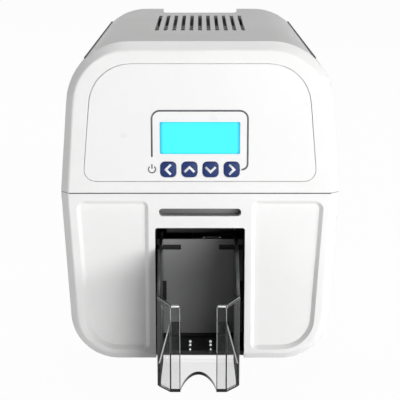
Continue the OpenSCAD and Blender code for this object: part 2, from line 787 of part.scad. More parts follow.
module feed_motor() {
    color([0.3, 0.3, 0.32]) difference() {
        union() {
            along_x(-plate_in, motor_l)
                polygon(rounded(box_corners(motor_y - motor_s / 2, motor_z - motor_s / 2,
                    motor_y + motor_s / 2,
                                            motor_z + motor_s / 2, 5)));
            rod_x(-plate_in - 1.5, -plate_in + eps, motor_y, motor_z, pinion_gear_r - 0.1);
        }
        rod_x(-plate_in - 2, -plate_in + 10, motor_y, motor_z, 2.5 + run_gap);
    }
}
module feed_pinion() {
    color("goldenrod") union() {
        translate([0, motor_y, motor_z]) along_x(gear_x, gear_w) polygon(gear_points(pinion_teeth));
        rod_x(gear_x - 0.5, -plate_in + 9, motor_y, motor_z, 2.5);
    }
}
module exit_roller() { driven_roller(exit_y); }
module platen_roller() { driven_roller(platen_y); }
module feed_roller() { driven_roller(feed_y); }
module infeed_roller() { driven_roller(infeed_y); }
module pick_roller() { driven_roller(pick_y); }
module exit_gear() { roller_gear(exit_y); }
module platen_gear() { roller_gear(platen_y); }
module feed_gear() { roller_gear(feed_y); }
module infeed_gear() { roller_gear(infeed_y); }
module pick_gear() { roller_gear(pick_y); }
module idler_one() { idler(exit_y + idler_offset); }
module idler_two() { idler(platen_y + idler_offset); }
module idler_three() { idler(feed_y + idler_offset); }
module idler_four() { idler(infeed_y + idler_offset); }

module cleaning_roller() {
    color("skyblue") union() {
        rod_x(-roller_half, roller_half, infeed_y, cleaner_z, cleaner_r);
        rod_x(-plate_out - 1, plate_out + 1, infeed_y, cleaner_z, shaft_r - 1);
    }
}

// Ribbon spool: a core with end flanges, carried at its journals in the open slots of the side plates.
module spool(y) {
    color([0.25, 0.25, 0.27]) union() {
        rod_x(-ribbon_w / 2 - 5, ribbon_w / 2 + 5, y, spool_z, core_r);
        both_sides() rod_x(ribbon_w / 2 + 2, ribbon_w / 2 + 4, y, spool_z, core_r + 3);
        rod_x(-plate_out - 1.5, plate_out + 1.5, y, spool_z, journal_r);
    }
}
module film_roll(y, r) {
    color([0.1, 0.1, 0.14]) difference() {
        rod_x(-ribbon_w / 2, ribbon_w / 2, y, spool_z, r);
        rod_x(-ribbon_w / 2 - 1, ribbon_w / 2 + 1, y, spool_z, core_r);
    }
}
module supply_spool() { spool(supply_y); }
module supply_film() { film_roll(supply_y, supply_r); }
module takeup_spool() { spool(takeup_y); }
module takeup_film() { film_roll(takeup_y, takeup_r); }

catch_l = 8;
catch_t = 1.5;
module striker_plate() {
    color("silver") both_sides() difference() {
        box([catch_x - 1, face_wall, lower_top - catch_l],
            [catch_x + catch_w + 1, face_wall + catch_l + 1, lower_top - 0.1]);
        box([catch_x - 2, face_wall + catch_t, lower_top - catch_l - 1],
            [catch_x + catch_w + 2, face_wall + catch_l + 2, lower_top - 0.1 - catch_t]);
    }
}
catch_x = 58;
catch_w = 12;
module lid_magnet() {
    color([0.25, 0.25, 0.27]) both_sides()
        box([catch_x, face_wall, cover_base + 0.1],
            [catch_x + catch_w, face_wall + catch_l, cover_base + catch_l]);
}

// Stacker tray: floor with a step over the sill, tall side walls, chamfered corners and two front posts.
tray_half = tray_w / 2;
tray_front = -tray_out;
tray_back = bay_d - 1.5;
tray_low = 0.6;
tray_high = floor_top + liner_t + 0.3;
post_out = post_gap / 2 + post_w;
corner_y = tray_front + tray_corner;
rim_front = post_top + 3;
corner_turn = atan2(tray_corner, tray_half - post_out);
function tray_corners(inset, y1) = [
    [tray_half - inset, y1, 0],
    [tray_half - inset, corner_y + inset * tan(45 - corner_turn / 2), tray_r - inset],
    [post_out - inset * tan(corner_turn / 2), tray_front + inset, 0]
];
module tray_plan(inset, y1) {
    right = tray_corners(inset, y1);
    left = [for (k = [2 : -1 : 0]) [-right[k][0], right[k][1], right[k][2]]];
    polygon(rounded(concat(right, left)));
}
module stacker_tray() {
    step_y = 1;
    reach = post_gap / 2;
    color([0.5, 0.5, 0.52, 0.4]) translate([tray_x, 0, 0]) union() {
        // Floor with the arched finger cut, and the step over the sill
        translate([0, 0, tray_low]) linear_extrude(tray_t) difference() {
            tray_plan(0, step_y + tray_t);
            polygon(concat(
                [[-reach, tray_front - 1]],
                [for (a = [-90 : 11.25 : 90]) [reach * sin(a), tray_front + tray_cut * pow(cos(a), 1.5)]],
                [[reach, tray_front - 1]]
            ));
        }
        box([-tray_half, step_y, tray_low], [tray_half, step_y + tray_t, tray_high + tray_t]);
        box([-tray_half, step_y, tray_high], [tray_half, tray_back, tray_high + tray_t]);
        // Side walls, chamfered corners and posts, cut to the slanted rim and to the corner windows
        difference() {
            intersection() {
                translate([0, 0, tray_low]) linear_extrude(tray_rear_top) difference() {
                    tray_plan(0, tray_back);
                    tray_plan(tray_t, tray_back + 1);
                    translate([-reach, tray_front - 1]) square([post_gap, tray_t + 2]);
                }
                along_x(-tray_half - 1, tray_w + 2) polygon([
                    [tray_front - 1, tray_low], [step_y + tray_t, tray_low], [step_y + tray_t, tray_high],
                    [tray_back, tray_high], [tray_back, tray_rear_top], [corner_y, rim_front],
                    [tray_front, post_top], [tray_front - 1, post_top]
                ]);
            }
            both_sides() along_x(post_out, tray_half) polygon([
                [tray_front - 1, post_top - 13], [tray_front, post_top - 13], [corner_y, tray_low + 18.4],
                [corner_y, rim_front - rail_t], [tray_front, post_top - rail_t], [tray_front - 1,
                    post_top - rail_t]
            ]);
        }
    }
}

// Card feeder: a wide base that holds the pick roller's gears, with the hopper standing on it.
feeder_y0 = case_d + 0.3;
feeder_back = case_d + feeder_out;
feeder_half = feeder_w / 2;
feeder_base_h = 40;
hopper_in = card_w / 2 + card_gap;
hopper_out = hopper_in + feeder_t;
hopper_y0 = feeder_y0 + feeder_t;
hopper_y1 = hopper_y0 + card_l + 2 * card_gap;
hopper_back = hopper_y1 + feeder_t;
hopper_top = feeder_top - feeder_lid_t - 0.3;
feeder_ear = 4;
feeder_axis_y = hopper_back + 4.5;
feeder_axis_z = hopper_top - 2.5;
barrel_r = 3;
lid_pin_r = 1.5;
lid_ear_r = barrel_r - 0.6;
module feeder_housing() {
    color("white") difference() {
        union() {
            difference() {
                translate([0, 0, feeder_z]) linear_extrude(feeder_base_h)
                    polygon(rounded([[-feeder_half, feeder_y0, 0], [feeder_half, feeder_y0, 0],
                                     [feeder_half, feeder_back, 16], [-feeder_half, feeder_back, 16]]));
                translate([0, 0, feeder_z + feeder_t]) linear_extrude(feeder_base_h - 2 * feeder_t)
                    polygon(rounded([[-feeder_half + feeder_t, feeder_y0 - 1, 0],
                        [feeder_half - feeder_t, feeder_y0 - 1, 0],
                                     [feeder_half - feeder_t, feeder_back - feeder_t, 13],
                                     [-feeder_half + feeder_t, feeder_back - feeder_t, 13]]));
            }
            box([-hopper_out, feeder_y0, bed_top - feeder_t], [hopper_out, hopper_back, hopper_top]);
            both_sides() difference() {
                union() {
                    along_x(hopper_out - feeder_ear - 2, feeder_ear) polygon([
                        [hopper_back - eps, feeder_axis_z - 14], [feeder_axis_y + lid_ear_r,
                            feeder_axis_z - 4],
                        [feeder_axis_y + lid_ear_r, feeder_axis_z], [feeder_axis_y, feeder_axis_z],
                        [feeder_axis_y, feeder_axis_z + lid_ear_r], [hopper_back - eps,
                            feeder_axis_z + lid_ear_r]
                    ]);
                    rod_x(hopper_out - feeder_ear - 2, hopper_out - 2, feeder_axis_y, feeder_axis_z,
                        lid_ear_r);
                }
                rod_x(hopper_in - 10, hopper_out, feeder_axis_y, feeder_axis_z, lid_pin_r + run_gap);
            }
        }
        box([-hopper_in, hopper_y0, bed_top], [hopper_in, hopper_y1, hopper_top + 1]);
        // Gate for the lowest card, and the window for the pick roller
        box([-card_w / 2 - 0.4, feeder_y0 - 1, bed_top], [card_w / 2 + 0.4, hopper_y0 + 1,
            card_z + 2 * card_t]);
        box([-roller_half - 1, pick_y - roller_r - 1, bed_top - feeder_t - 1],
            [roller_half + 1, pick_y + roller_r + 1, card_z + 0.6]);
        // Finger cut in the rear wall
        along_y(hopper_y1 - 1, feeder_t + 2)
            polygon(rounded([[-10, feeder_z + feeder_base_h + 12, 8], [10, feeder_z + feeder_base_h + 12, 8],
                             [10, hopper_top - 18, 8], [-10, hopper_top - 18, 8]]));
    }
}
module feeder_lid() {
    color("white") union() {
        box([-hopper_out, feeder_y0, hopper_top + 0.3], [hopper_out, feeder_axis_y, feeder_top]);
        along_x(-hopper_out + feeder_ear + 2.4, 2 * (hopper_out - feeder_ear - 2.4))
            polygon([[feeder_axis_y - 2, feeder_top - eps], [feeder_axis_y - 2, hopper_top],
                     [feeder_axis_y, feeder_axis_z], [feeder_axis_y + 2.6, feeder_axis_z + 1.4],
                         [feeder_axis_y + 1.5, feeder_top - eps]]);
        rod_x(-hopper_out + feeder_ear + 2.4, hopper_out - feeder_ear - 2.4, feeder_axis_y,
            feeder_axis_z, barrel_r);
        rod_x(-hopper_out + 3.5, hopper_out - 3.5, feeder_axis_y, feeder_axis_z, lid_pin_r);
        box([-12, feeder_y0, feeder_top - eps], [12, feeder_y0 + 2, feeder_top + 1.5]);
    }
}
module card_weight() {
    weight_y = (hopper_y0 + hopper_y1) / 2;
    half = card_l / 2 - 2.8;
    color("dimgray") union() {
        along_x(4 - card_w / 2, card_w - 8) polygon([
            [weight_y - half, bed_top + 0.8], [weight_y + half, bed_top + 0.8], [weight_y + half,
                bed_top + 3],
            [weight_y + half - 4, bed_top + 6], [weight_y - half + 4, bed_top + 6], [weight_y - half,
                bed_top + 3]
        ]);
        box([-14, weight_y - 2, bed_top + 6 - eps], [14, weight_y + 2, bed_top + 14]);
    }
}

// Top cover: arched shell with the roof vents, the notch, and the ears that hold the hinge pins.
ear_in = plate_out + 0.3;
ear_t = 3;
function cover_inner_x(z) = case_w / 2 - wall / cos(rear_lean) - (z - seam_z) * tan(rear_lean);
module notch_plan(grow) {
    polygon(rounded([[-notch_half - grow, notch_y - grow, notch_r + grow], [notch_half + grow,
        notch_y - grow, notch_r + grow],
                     [notch_half + grow, case_d + 20, 0], [-notch_half - grow, case_d + 20, 0]]));
}
module notch(grow) {
    translate([0, 0, seam_z - 5]) linear_extrude(case_h) notch_plan(grow);
}
module cover_shell() {
    outer = [for (s = case_stations(0, case_d, bevel, 0)) cover_ring(s[0], s[1], 0)];
    inner = [for (s = [[bevel * 0.6 + wall, face_wall], [wall, face_wall + bevel * 0.6],
                       [wall, case_d - wall - bevel * 0.6], [bevel * 0.6 + wall, case_d - wall]])
        cover_ring(s[0], s[1], 1)];
    difference() {
        union() {
            difference() {
                loft(outer);
                loft(inner);
            }
            intersection() {
                notch(wall);
                along_x(-notch_half - wall - 1, notch_w + 2 * wall + 2) polygon([
                    [notch_y - wall - 1, seam_z], [case_d - 1, seam_z], [case_d - 1, case_h - bevel - 1],
                    [case_d - bevel - 1, case_h - 1], [notch_y - wall - 1, case_h - 1]
                ]);
            }
        }
        notch(0);
    }
}
function fascia_outline(inset) = rounded([
    [-fascia_w / 2 + inset, fascia_z + inset, fascia_base_r - inset],
    [fascia_w / 2 - inset, fascia_z + inset, fascia_base_r - inset],
    [fascia_w / 2 - inset - fascia_h * fascia_lean, fascia_z + fascia_h - inset, fascia_top_r - inset],
    [-fascia_w / 2 + inset + fascia_h * fascia_lean, fascia_z + fascia_h - inset, fascia_top_r - inset]
], 8);
fascia_lean = 0.0894;
ledge_in = 30;
ledge_l = 40;
module top_cover() {
    color("white") difference() {
        union() {
            cover_shell();
            // Ribs under the vents
            for (k = [0 : rib_count - 1])
                box([-vent_count * vent_pitch / 2 - 3, vent_y + 12 + k * rib_pitch, case_h - wall - rib_h],
                    [vent_count * vent_pitch / 2 + 3, vent_y + 12 + k * rib_pitch + rib_t,
                        case_h - wall + 1]);
            both_sides() {
                // Ledges under the inner cover
                for (y = [ledge_in, notch_y - ledge_in - ledge_l])
                    box([cover_inner_x(liner_z) - 7, y, liner_z - 4],
                        [cover_inner_x(liner_z) + 2, y + ledge_l, liner_z]);
                rod_x(notch_half + wall - eps, plate_in - 0.3, hinge_y, hinge_z, hinge_eye_r);
                along_x(ear_in, ear_t) polygon(rounded([
                    [hinge_y - hinge_eye_r, hinge_z - hinge_eye_r, 4.5], [case_d - wall + 1,
                        hinge_z - hinge_eye_r, 0],
                    [case_d - wall + 1, hinge_z + 18, 0], [hinge_y - hinge_eye_r, hinge_z + 6, 3]
                ]));
            }
        }
        box([-case_w, -1, seam_z - 2], [case_w, case_d + 1, cover_base]);
        // Seat and window of the control fascia
        along_y(-1, fascia_t + 1) polygon(fascia_outline(0));
        along_y(-1, face_wall + 2) polygon(fascia_outline(fascia_gap + fascia_ledge));
        for (k = [0 : vent_count - 1])
            translate([(k - (vent_count - 1) / 2) * vent_pitch, 0, 0]) difference() {
                box([-vent_w / 2, vent_y, case_h - wall - 1], [vent_w / 2, vent_y + vent_l, case_h + 1]);
                for (j = [0 : rib_count - 1])
                    box([-vent_w, vent_y + 12 + j * rib_pitch, case_h - wall - 2],
                        [vent_w, vent_y + 12 + j * rib_pitch + rib_t, case_h - wall]);
            }
        both_sides() {
            // Shoulder groove
            loft([for (y = [groove_y, groove_y + groove_l])
                [for (k = [0 : 11]) [
                    groove_x(y) + groove_r * cos(30 * k), y, groove_z + groove_r * sin(30 * k)
                ]]]);
            // Bores of the hinge pins
            rod_x(notch_half + 0.5, ear_in + ear_t + 1, hinge_y, hinge_z, hinge_pin_r);
        }
        // Rounded rear edge that turns inside the lower case
        difference() {
            box([-case_w, hinge_y, seam_z - 1], [case_w, case_d + 1, hinge_z]);
            rod_x(-case_w - 1, case_w + 1, hinge_y, hinge_z, hinge_clear_r - 0.1);
        }
    }
}
function groove_x(y) = crown_x(case_h - seam_z, lean_at(y), top_r) + top_r * cos(groove_at);
groove_z = case_h - top_r + top_r * sin(groove_at);
module hinge_pins() {
    color("silver") both_sides()
        rod_x(notch_half + 0.5, ear_in + ear_t + 1, hinge_y, hinge_z, hinge_pin_r);
}
liner_rib = 25;
module lid_liner() {
    half = cover_inner_x(liner_z + lid_liner_t) - 0.3;
    color("whitesmoke") difference() {
        union() {
            box([-half, 14, liner_z], [half, notch_y - wall - 0.4, liner_z + lid_liner_t]);
            for (x = [-2.8, -1.8, 1.8, 2.8] * liner_rib)
                box([x - 1, 18, liner_z + lid_liner_t - eps],
                    [x + 1, notch_y - wall - 6, liner_z + lid_liner_t + 5]);
        }
        for (y = [190 : 9 : 218])
            box([-30, y, liner_z - 1], [30, y + 4, liner_z + lid_liner_t + 1]);
    }
}

module control_fascia() {
    color("white") difference() {
        union() {
            along_y(0, fascia_t) polygon(fascia_outline(fascia_gap));
            for (x = [-pillar_x, pillar_x])
                rod_y(x, fascia_t - eps, board_y, key_z, 2.5);
        }
        along_y(-1, fascia_t + 2)
            polygon(rounded(box_corners(-lcd_w / 2, lcd_z - lcd_h / 2, lcd_w / 2, lcd_z + lcd_h / 2, 1), 3));
        for (k = [0 : 3])
            along_y(-1, fascia_t + 2) key_square(k, key_gap);
    }
}
pillar_x = 41;
board_y = 7;
module key_square(k, grow) {
    h = key_s / 2 + grow;
    x = (k - 1.5) * key_pitch;
    polygon(rounded(box_corners(x - h, key_z - h, x + h, key_z + h, key_r + grow), 5));
}
module key(k) {
    color("navy") union() {
        along_y(-key_proud, board_y - key_travel - 0.2 + key_proud) key_square(k, 0);
        along_y(fascia_t + 0.3, 1.2) key_square(k, 2 * key_gap);
    }
}
module key_left() { key(0); }
module key_up() { key(1); }
module key_down() { key(2); }
module key_right() { key(3); }
module lcd_window() {
    gap = 0.15;
    color("cyan") along_y(0.3, fascia_t - 0.3)
        polygon(rounded(box_corners(-lcd_w / 2 + gap, lcd_z - lcd_h / 2 + gap, lcd_w / 2 - gap,
            lcd_z + lcd_h / 2 - gap, 1), 3));
}
module lcd_module() {
    color("dimgray") union() {
        box([-lcd_w / 2 - 5, fascia_t, lcd_z - lcd_h / 2 - 4.4], [lcd_w / 2 + 5, fascia_t + 5,
            lcd_z + lcd_h / 2 + 5]);
        box([-lcd_w / 2 - 8, fascia_t + 5 - eps, lcd_z - lcd_h / 2 - 4.4], [lcd_w / 2 + 8,
            fascia_t + 6.6, lcd_z + lcd_h / 2 + 8]);
    }
}
module keypad_board() {
    color("seagreen") union() {
        box([-pillar_x - 4, board_y, key_z - 6.5], [pillar_x + 4, board_y + 1.6, key_z + 6.2]);
        box([-12, board_y + 1.6 - eps, key_z - 3], [12, board_y + 6, key_z + 3]);
    }
}

// Print head under its finned heat sink, hung from the inner cover by a bracket that also
// holds the exit pinch roller.
head_z = card_z + card_t + 0.6;
head_t = 4;
head_w = card_w + 6;
head_d = 16;
sink_d = head_d + 4;
sink_h = 20;
sink_base = 4;
fin_count = 11;
fin_t = 2;
sink_top = head_z + head_t + sink_h;
bracket_half = head_w / 2 + 6;
bracket_d = sink_d + 4;
bracket_t = 2;
pinch_r = 4.5;
pinch_z = card_z + card_t + 0.4 + pinch_r;
module print_head() {
    color("tan") union() {
        box([-head_w / 2, platen_y - head_d / 2, head_z + 0.6], [head_w / 2, platen_y + head_d / 2,
            head_z + head_t]);
        along_x(1 - head_w / 2, head_w - 2)
            polygon([[platen_y - 2.5, head_z + 0.7], [platen_y - 1, head_z], [platen_y + 1, head_z],
                [platen_y + 2.5, head_z + 0.7]]);
    }
}
module heat_sink() {
    base = head_z + head_t;
    fin_pitch = (head_w - fin_t) / (fin_count - 1);
    color("silver") union() {
        box([-head_w / 2, platen_y - sink_d / 2, base], [head_w / 2, platen_y + sink_d / 2,
            base + sink_base]);
        for (k = [0 : fin_count - 1])
            translate([k * fin_pitch - head_w / 2, 0, 0])
                box([0, platen_y - sink_d / 2, base + sink_base - eps], [fin_t, platen_y + sink_d / 2,
                    sink_top]);
    }
}
module head_bracket() {
    color("lightgray") difference() {
        union() {
            box([-bracket_half, exit_y - 6, liner_z - bracket_t], [bracket_half,
                platen_y + bracket_d / 2 + 4, liner_z]);
            box([-bracket_half, platen_y - bracket_d / 2, sink_top], [bracket_half,
                platen_y + bracket_d / 2, sink_top + bracket_t]);
            both_sides() {
                along_x(bracket_half - bracket_t, bracket_t)
                    polygon([[platen_y - bracket_d / 2, sink_top], [platen_y + bracket_d / 2, sink_top],
                             [platen_y + bracket_d / 2 + 4, liner_z], [platen_y - bracket_d / 2 - 2,
                                 liner_z]]);
                along_x(bracket_half - bracket_t, bracket_t)
                    polygon([[exit_y - 4, pinch_z - 3], [exit_y + 4, pinch_z - 3], [exit_y + 6,
                        liner_z], [exit_y - 6, liner_z]]);
            }
        }
        rod_x(-bracket_half - 1, bracket_half + 1, exit_y, pinch_z, 2 + run_gap);
        for (x = [-22, 4])
            box([x, exit_y + 12, liner_z - bracket_t - 1], [x + 18, platen_y - 20, liner_z + 1]);
    }
}
module exit_pinch() {
    color("dimgray") union() {
        rod_x(-25, 25, exit_y, pinch_z, pinch_r);
        rod_x(-bracket_half - 1, bracket_half + 1, exit_y, pinch_z, 2);
    }
}

translate([0, origin_y, 0]) lower_case();
translate([0, origin_y, 0]) base_plate();
translate([0, origin_y, 0]) rubber_feet();
translate([0, origin_y, 0]) bay_liner();
translate([0, origin_y, 0]) chassis_left();
translate([0, origin_y, 0]) chassis_right();
translate([0, origin_y, 0]) card_bed();
translate([0, origin_y, 0]) rear_hood();
translate([0, origin_y, 0]) main_board();
translate([0, origin_y, 0]) usb_socket();
translate([0, origin_y, 0]) network_socket();
translate([0, origin_y, 0]) power_inlet();
translate([0, origin_y, 0]) power_rocker();
translate([0, origin_y, 0]) fan_frame();
translate([0, origin_y, 0]) fan_rotor();
translate([0, origin_y, 0]) feed_motor();
translate([0, origin_y, 0]) feed_pinion();
translate([0, origin_y, 0]) exit_roller();
translate([0, origin_y, 0]) exit_gear();
translate([0, origin_y, 0]) platen_roller();
translate([0, origin_y, 0]) platen_gear();
translate([0, origin_y, 0]) feed_roller();
translate([0, origin_y, 0]) feed_gear();
translate([0, origin_y, 0]) infeed_roller();
translate([0, origin_y, 0]) infeed_gear();
translate([0, origin_y, 0]) pick_roller();
translate([0, origin_y, 0]) pick_gear();
translate([0, origin_y, 0]) idler_one();
translate([0, origin_y, 0]) idler_two();
translate([0, origin_y, 0]) idler_three();
translate([0, origin_y, 0]) idler_four();
translate([0, origin_y, 0]) cleaning_roller();
translate([0, origin_y, 0]) supply_spool();
translate([0, origin_y, 0]) supply_film();
translate([0, origin_y, 0]) takeup_spool();
translate([0, origin_y, 0]) takeup_film();
translate([0, origin_y, 0]) striker_plate();
translate([0, origin_y, 0]) stacker_tray();
translate([0, origin_y, 0]) feeder_housing();
translate([0, origin_y, 0]) feeder_lid();
translate([0, origin_y, 0]) card_weight();
translate([0, origin_y, 0]) top_cover();
translate([0, origin_y, 0]) lid_liner();
translate([0, origin_y, 0]) control_fascia();
translate([0, origin_y, 0]) lcd_window();
translate([0, origin_y, 0]) lcd_module();
translate([0, origin_y, 0]) keypad_board();
translate([0, origin_y, 0]) key_left();
translate([0, origin_y, 0]) key_up();
translate([0, origin_y, 0]) key_down();
translate([0, origin_y, 0]) key_right();
translate([0, origin_y, 0]) head_bracket();
translate([0, origin_y, 0]) print_head();
translate([0, origin_y, 0]) heat_sink();
translate([0, origin_y, 0]) exit_pinch();
translate([0, origin_y, 0]) hinge_pins();
translate([0, origin_y, 0]) lid_magnet();
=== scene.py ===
"""Desktop card printer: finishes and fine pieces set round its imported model."""
import logging
import math
from contextlib import contextmanager
from dataclasses import dataclass
from enum import Enum, IntEnum
from functools import lru_cache, partialmethod
from typing import Iterable, Iterator, Optional, Sequence, Union

import bmesh
import bpy
from mathutils import Matrix, Vector


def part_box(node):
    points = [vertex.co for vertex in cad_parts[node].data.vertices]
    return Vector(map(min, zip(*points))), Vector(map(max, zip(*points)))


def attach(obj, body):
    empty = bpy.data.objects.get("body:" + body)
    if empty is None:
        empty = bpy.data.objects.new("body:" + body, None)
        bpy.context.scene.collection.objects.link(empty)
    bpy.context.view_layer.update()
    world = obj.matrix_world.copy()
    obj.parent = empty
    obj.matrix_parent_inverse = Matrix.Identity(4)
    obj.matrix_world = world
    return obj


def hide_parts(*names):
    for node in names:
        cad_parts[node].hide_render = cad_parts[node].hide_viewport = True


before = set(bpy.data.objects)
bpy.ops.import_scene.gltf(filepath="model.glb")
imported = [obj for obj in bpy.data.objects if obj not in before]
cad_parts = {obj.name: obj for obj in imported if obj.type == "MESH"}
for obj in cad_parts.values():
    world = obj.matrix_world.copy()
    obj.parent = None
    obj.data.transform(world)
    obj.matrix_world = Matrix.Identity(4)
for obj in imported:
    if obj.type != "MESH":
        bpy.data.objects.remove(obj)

LOG = logging.getLogger("card_printer")
MM = 0.001
FACE_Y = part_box("lower_case")[0].y
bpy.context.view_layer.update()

Colour = tuple[float, float, float]
Point = tuple[float, float, float]
Flat = tuple[float, float]
Value = Union["Wire", float]
Vert = bmesh.types.BMVert
Face = bmesh.types.BMFace

RIGHT, FRONT, BACK, UP = (1, 0, 0), (0, -1, 0), (0, 1, 0), (0, 0, 1)
PURE_WHITE = (1.0, 1.0, 1.0)
ROLLERS = ("exit", "platen", "feed", "infeed", "pick")
NODE_ANGLE = 32.0
WELD_REACH = 0.000002


# ---- shader tools


class Wire:
    """A shader socket that takes part in Python expressions."""

    def __init__(self, tree: "Tree", socket: bpy.types.NodeSocket) -> None:
        """Keeps the socket and the tree that it belongs to."""
        self.tree = tree
        self.socket = socket

    def combine(self, operation: str, *others: Value, clamp: bool = False) -> "Wire":
        """Result of a Math node that is fed this value and others."""
        settings = {"operation": operation, "use_clamp": clamp}
        return self.tree.wire(self.tree.node("ShaderNodeMath", settings, self, *others))

    __add__ = __radd__ = partialmethod(combine, "ADD")
    __mul__ = __rmul__ = partialmethod(combine, "MULTIPLY")
    __sub__ = partialmethod(combine, "SUBTRACT")
    __truediv__ = partialmethod(combine, "DIVIDE")
    __pow__ = partialmethod(combine, "POWER")
    __abs__ = partialmethod(combine, "ABSOLUTE")
    at_least = partialmethod(combine, "MAXIMUM")
    at_most = partialmethod(combine, "MINIMUM")
    clamped = partialmethod(combine, "ADD", 0.0, clamp=True)
    sine = partialmethod(combine, "SINE")

    def __rsub__(self, other: float) -> "Wire":
        """A number less this value."""
        return self * -1.0 + other

    def over(self, limit: float, soft: float) -> "Wire":
        """Mask that rises from 0 to 1 between a soft step below a limit and one above it."""
        return ((self - (limit - soft)) / (2 * soft)).clamped()

    def wave(self, rate: float) -> "Wire":
        """Sine of the value times a rate in radians."""
        return (self * rate).sine()


class Tree:
    """A node tree under construction."""

    def __init__(self, owner: bpy.types.ID) -> None:
        """Takes over and empties a node tree.

        Args:
            owner: Material or world that the tree belongs to.
        """
        owner.use_nodes = True
        self.tree = owner.node_tree
        self.tree.nodes.clear()

    def link(self, socket: bpy.types.NodeSocket, value: object) -> None:
        """Feeds an input.

        Args:
            socket: The input.
            value: A wire to link, or a value to set; a colour gets its fourth number.
        """
        if isinstance(value, Wire):
            self.tree.links.new(value.socket, socket)
        else:
            short = socket.type == "RGBA" and len(value) == 3
            socket.default_value = (*value, 1.0) if short else value

    def node(self, kind: str, settings: Optional[dict] = None, *values: object,
             **named: object) -> bpy.types.Node:
        """Adds a node of any type.

        Args:
            kind: Node type.
            settings: Node properties, set before the inputs.
            values: Values or wires for the first inputs, in order.
            named: Values or wires for inputs by name, with underscores for spaces.

        Returns:
            The node.
        """
        made = self.tree.nodes.new(kind)
        for key, value in (settings or {}).items():
            setattr(made, key, value)
        self.feed(made, dict(enumerate(values)))
        self.feed(made, named)
        return made

    def feed(self, node: bpy.types.Node, values: dict) -> None:
        """Feeds a node's inputs by number, or by name with underscores for spaces."""
        for key, value in values.items():
            self.link(node.inputs[key if isinstance(key, int) else key.replace("_", " ")], value)

    def wire(self, node: bpy.types.Node, output: Union[int, str] = 0) -> Wire:
        """Wraps one of a node's outputs."""
        return Wire(self, node.outputs[output])

    def mix(self, share: Wire, first: Wire, second: Wire) -> Wire:
        """Mixes two shaders by the share of the second."""
        return self.wire(self.node("ShaderNodeMixShader", None, share, first, second))

    def glow(self, kind: str, strength: float) -> Wire:
        """A pure white Emission or Background shader of some strength."""
        return self.wire(self.node(f"ShaderNode{kind}", None, PURE_WHITE, strength))


class Shader(Tree):
    """A material under construction, with its Principled shader at hand."""

    MIX_COLOUR_INPUTS = (0, 6, 7)
    MIX_COLOUR_OUTPUT = 2

    def __init__(self, name: str) -> None:
        """Makes a material with a plain Principled shader.

        Args:
            name: Name of the material.
        """
        self.material = bpy.data.materials.new(name)
        super().__init__(self.material)
        self.base = self.node("ShaderNodeBsdfPrincipled")
        self.output = self.node("ShaderNodeOutputMaterial", None, self.wire(self.base))
        self.coordinates = self.wire(self.node("ShaderNodeTexCoord"), "Object")

    def set(self, **named: object) -> None:
        """Feeds inputs of the Principled shader by name."""
        self.feed(self.base, named)

    def placed(self, scale: Point, turn: Point = (0.0, 0.0, 0.0)) -> Wire:
        """Object coordinates, stretched and turned by a number of degrees about each axis."""
        return self.wire(self.node("ShaderNodeMapping", None, self.coordinates, Scale=scale,
                                   Rotation=tuple(math.radians(a) for a in turn)))

    def axes(self) -> tuple[Wire, ...]:
        """Object coordinates as three numbers, in metres."""
        split = self.node("ShaderNodeSeparateXYZ", None, self.coordinates)
        return tuple(self.wire(split, k) for k in range(3))

    def noise(self, scale: float, detail: float = 2.0, rough: float = 0.5,
              vector: Optional[Wire] = None) -> Wire:
        """Noise around 0.5, with a number of lumps per metre and octaves of falling weight."""
        return self.wire(self.node("ShaderNodeTexNoise", None, vector or self.coordinates,
                                   Scale=scale, Detail=detail, Roughness=rough))

    def cells(self, scale: float) -> Wire:
        """Distance to the nearest of many scattered points, with a number of them per metre."""
        made = self.node("ShaderNodeTexVoronoi", None, self.coordinates, Scale=scale)
        return self.wire(made, "Distance")

    def blend(self, factor: Value, low: Union[Wire, Colour], high: Union[Wire, Colour]) -> Wire:
        """Mixes two colours.

        Args:
            factor: Share of the second colour.
            low: First colour.
            high: Second colour.

        Returns:
            The mixed colour.
        """
        made = self.node("ShaderNodeMix", {"data_type": "RGBA"})
        self.feed(made, dict(zip(self.MIX_COLOUR_INPUTS, (factor, low, high))))
        return self.wire(made, self.MIX_COLOUR_OUTPUT)

    def relief(self, height: Wire, depth: float, strength: float = 1.0) -> None:
        """Feeds a height pattern, whose depth is in metres, into the surface normal."""
        bump = self.node("ShaderNodeBump", None, Strength=strength, Distance=depth, Height=height)
        self.set(Normal=self.wire(bump))


# ---- finishes


def shade(colour: Colour, factor: float) -> Colour:
    """A colour made lighter or darker by a factor."""
    return tuple(min(1.0, c * factor) for c in colour)


@dataclass(frozen=True)
class Finish:
    """A named finish that can build its own material."""

    name: str

    def draw(self, s: Shader) -> None:
        """Sets the inputs of the finish's shader."""
        raise NotImplementedError

    def make(self) -> bpy.types.Material:
        """Builds the material.

        Returns:
            The material.
        """
        s = Shader(self.name)
        self.draw(s)
        return s.material


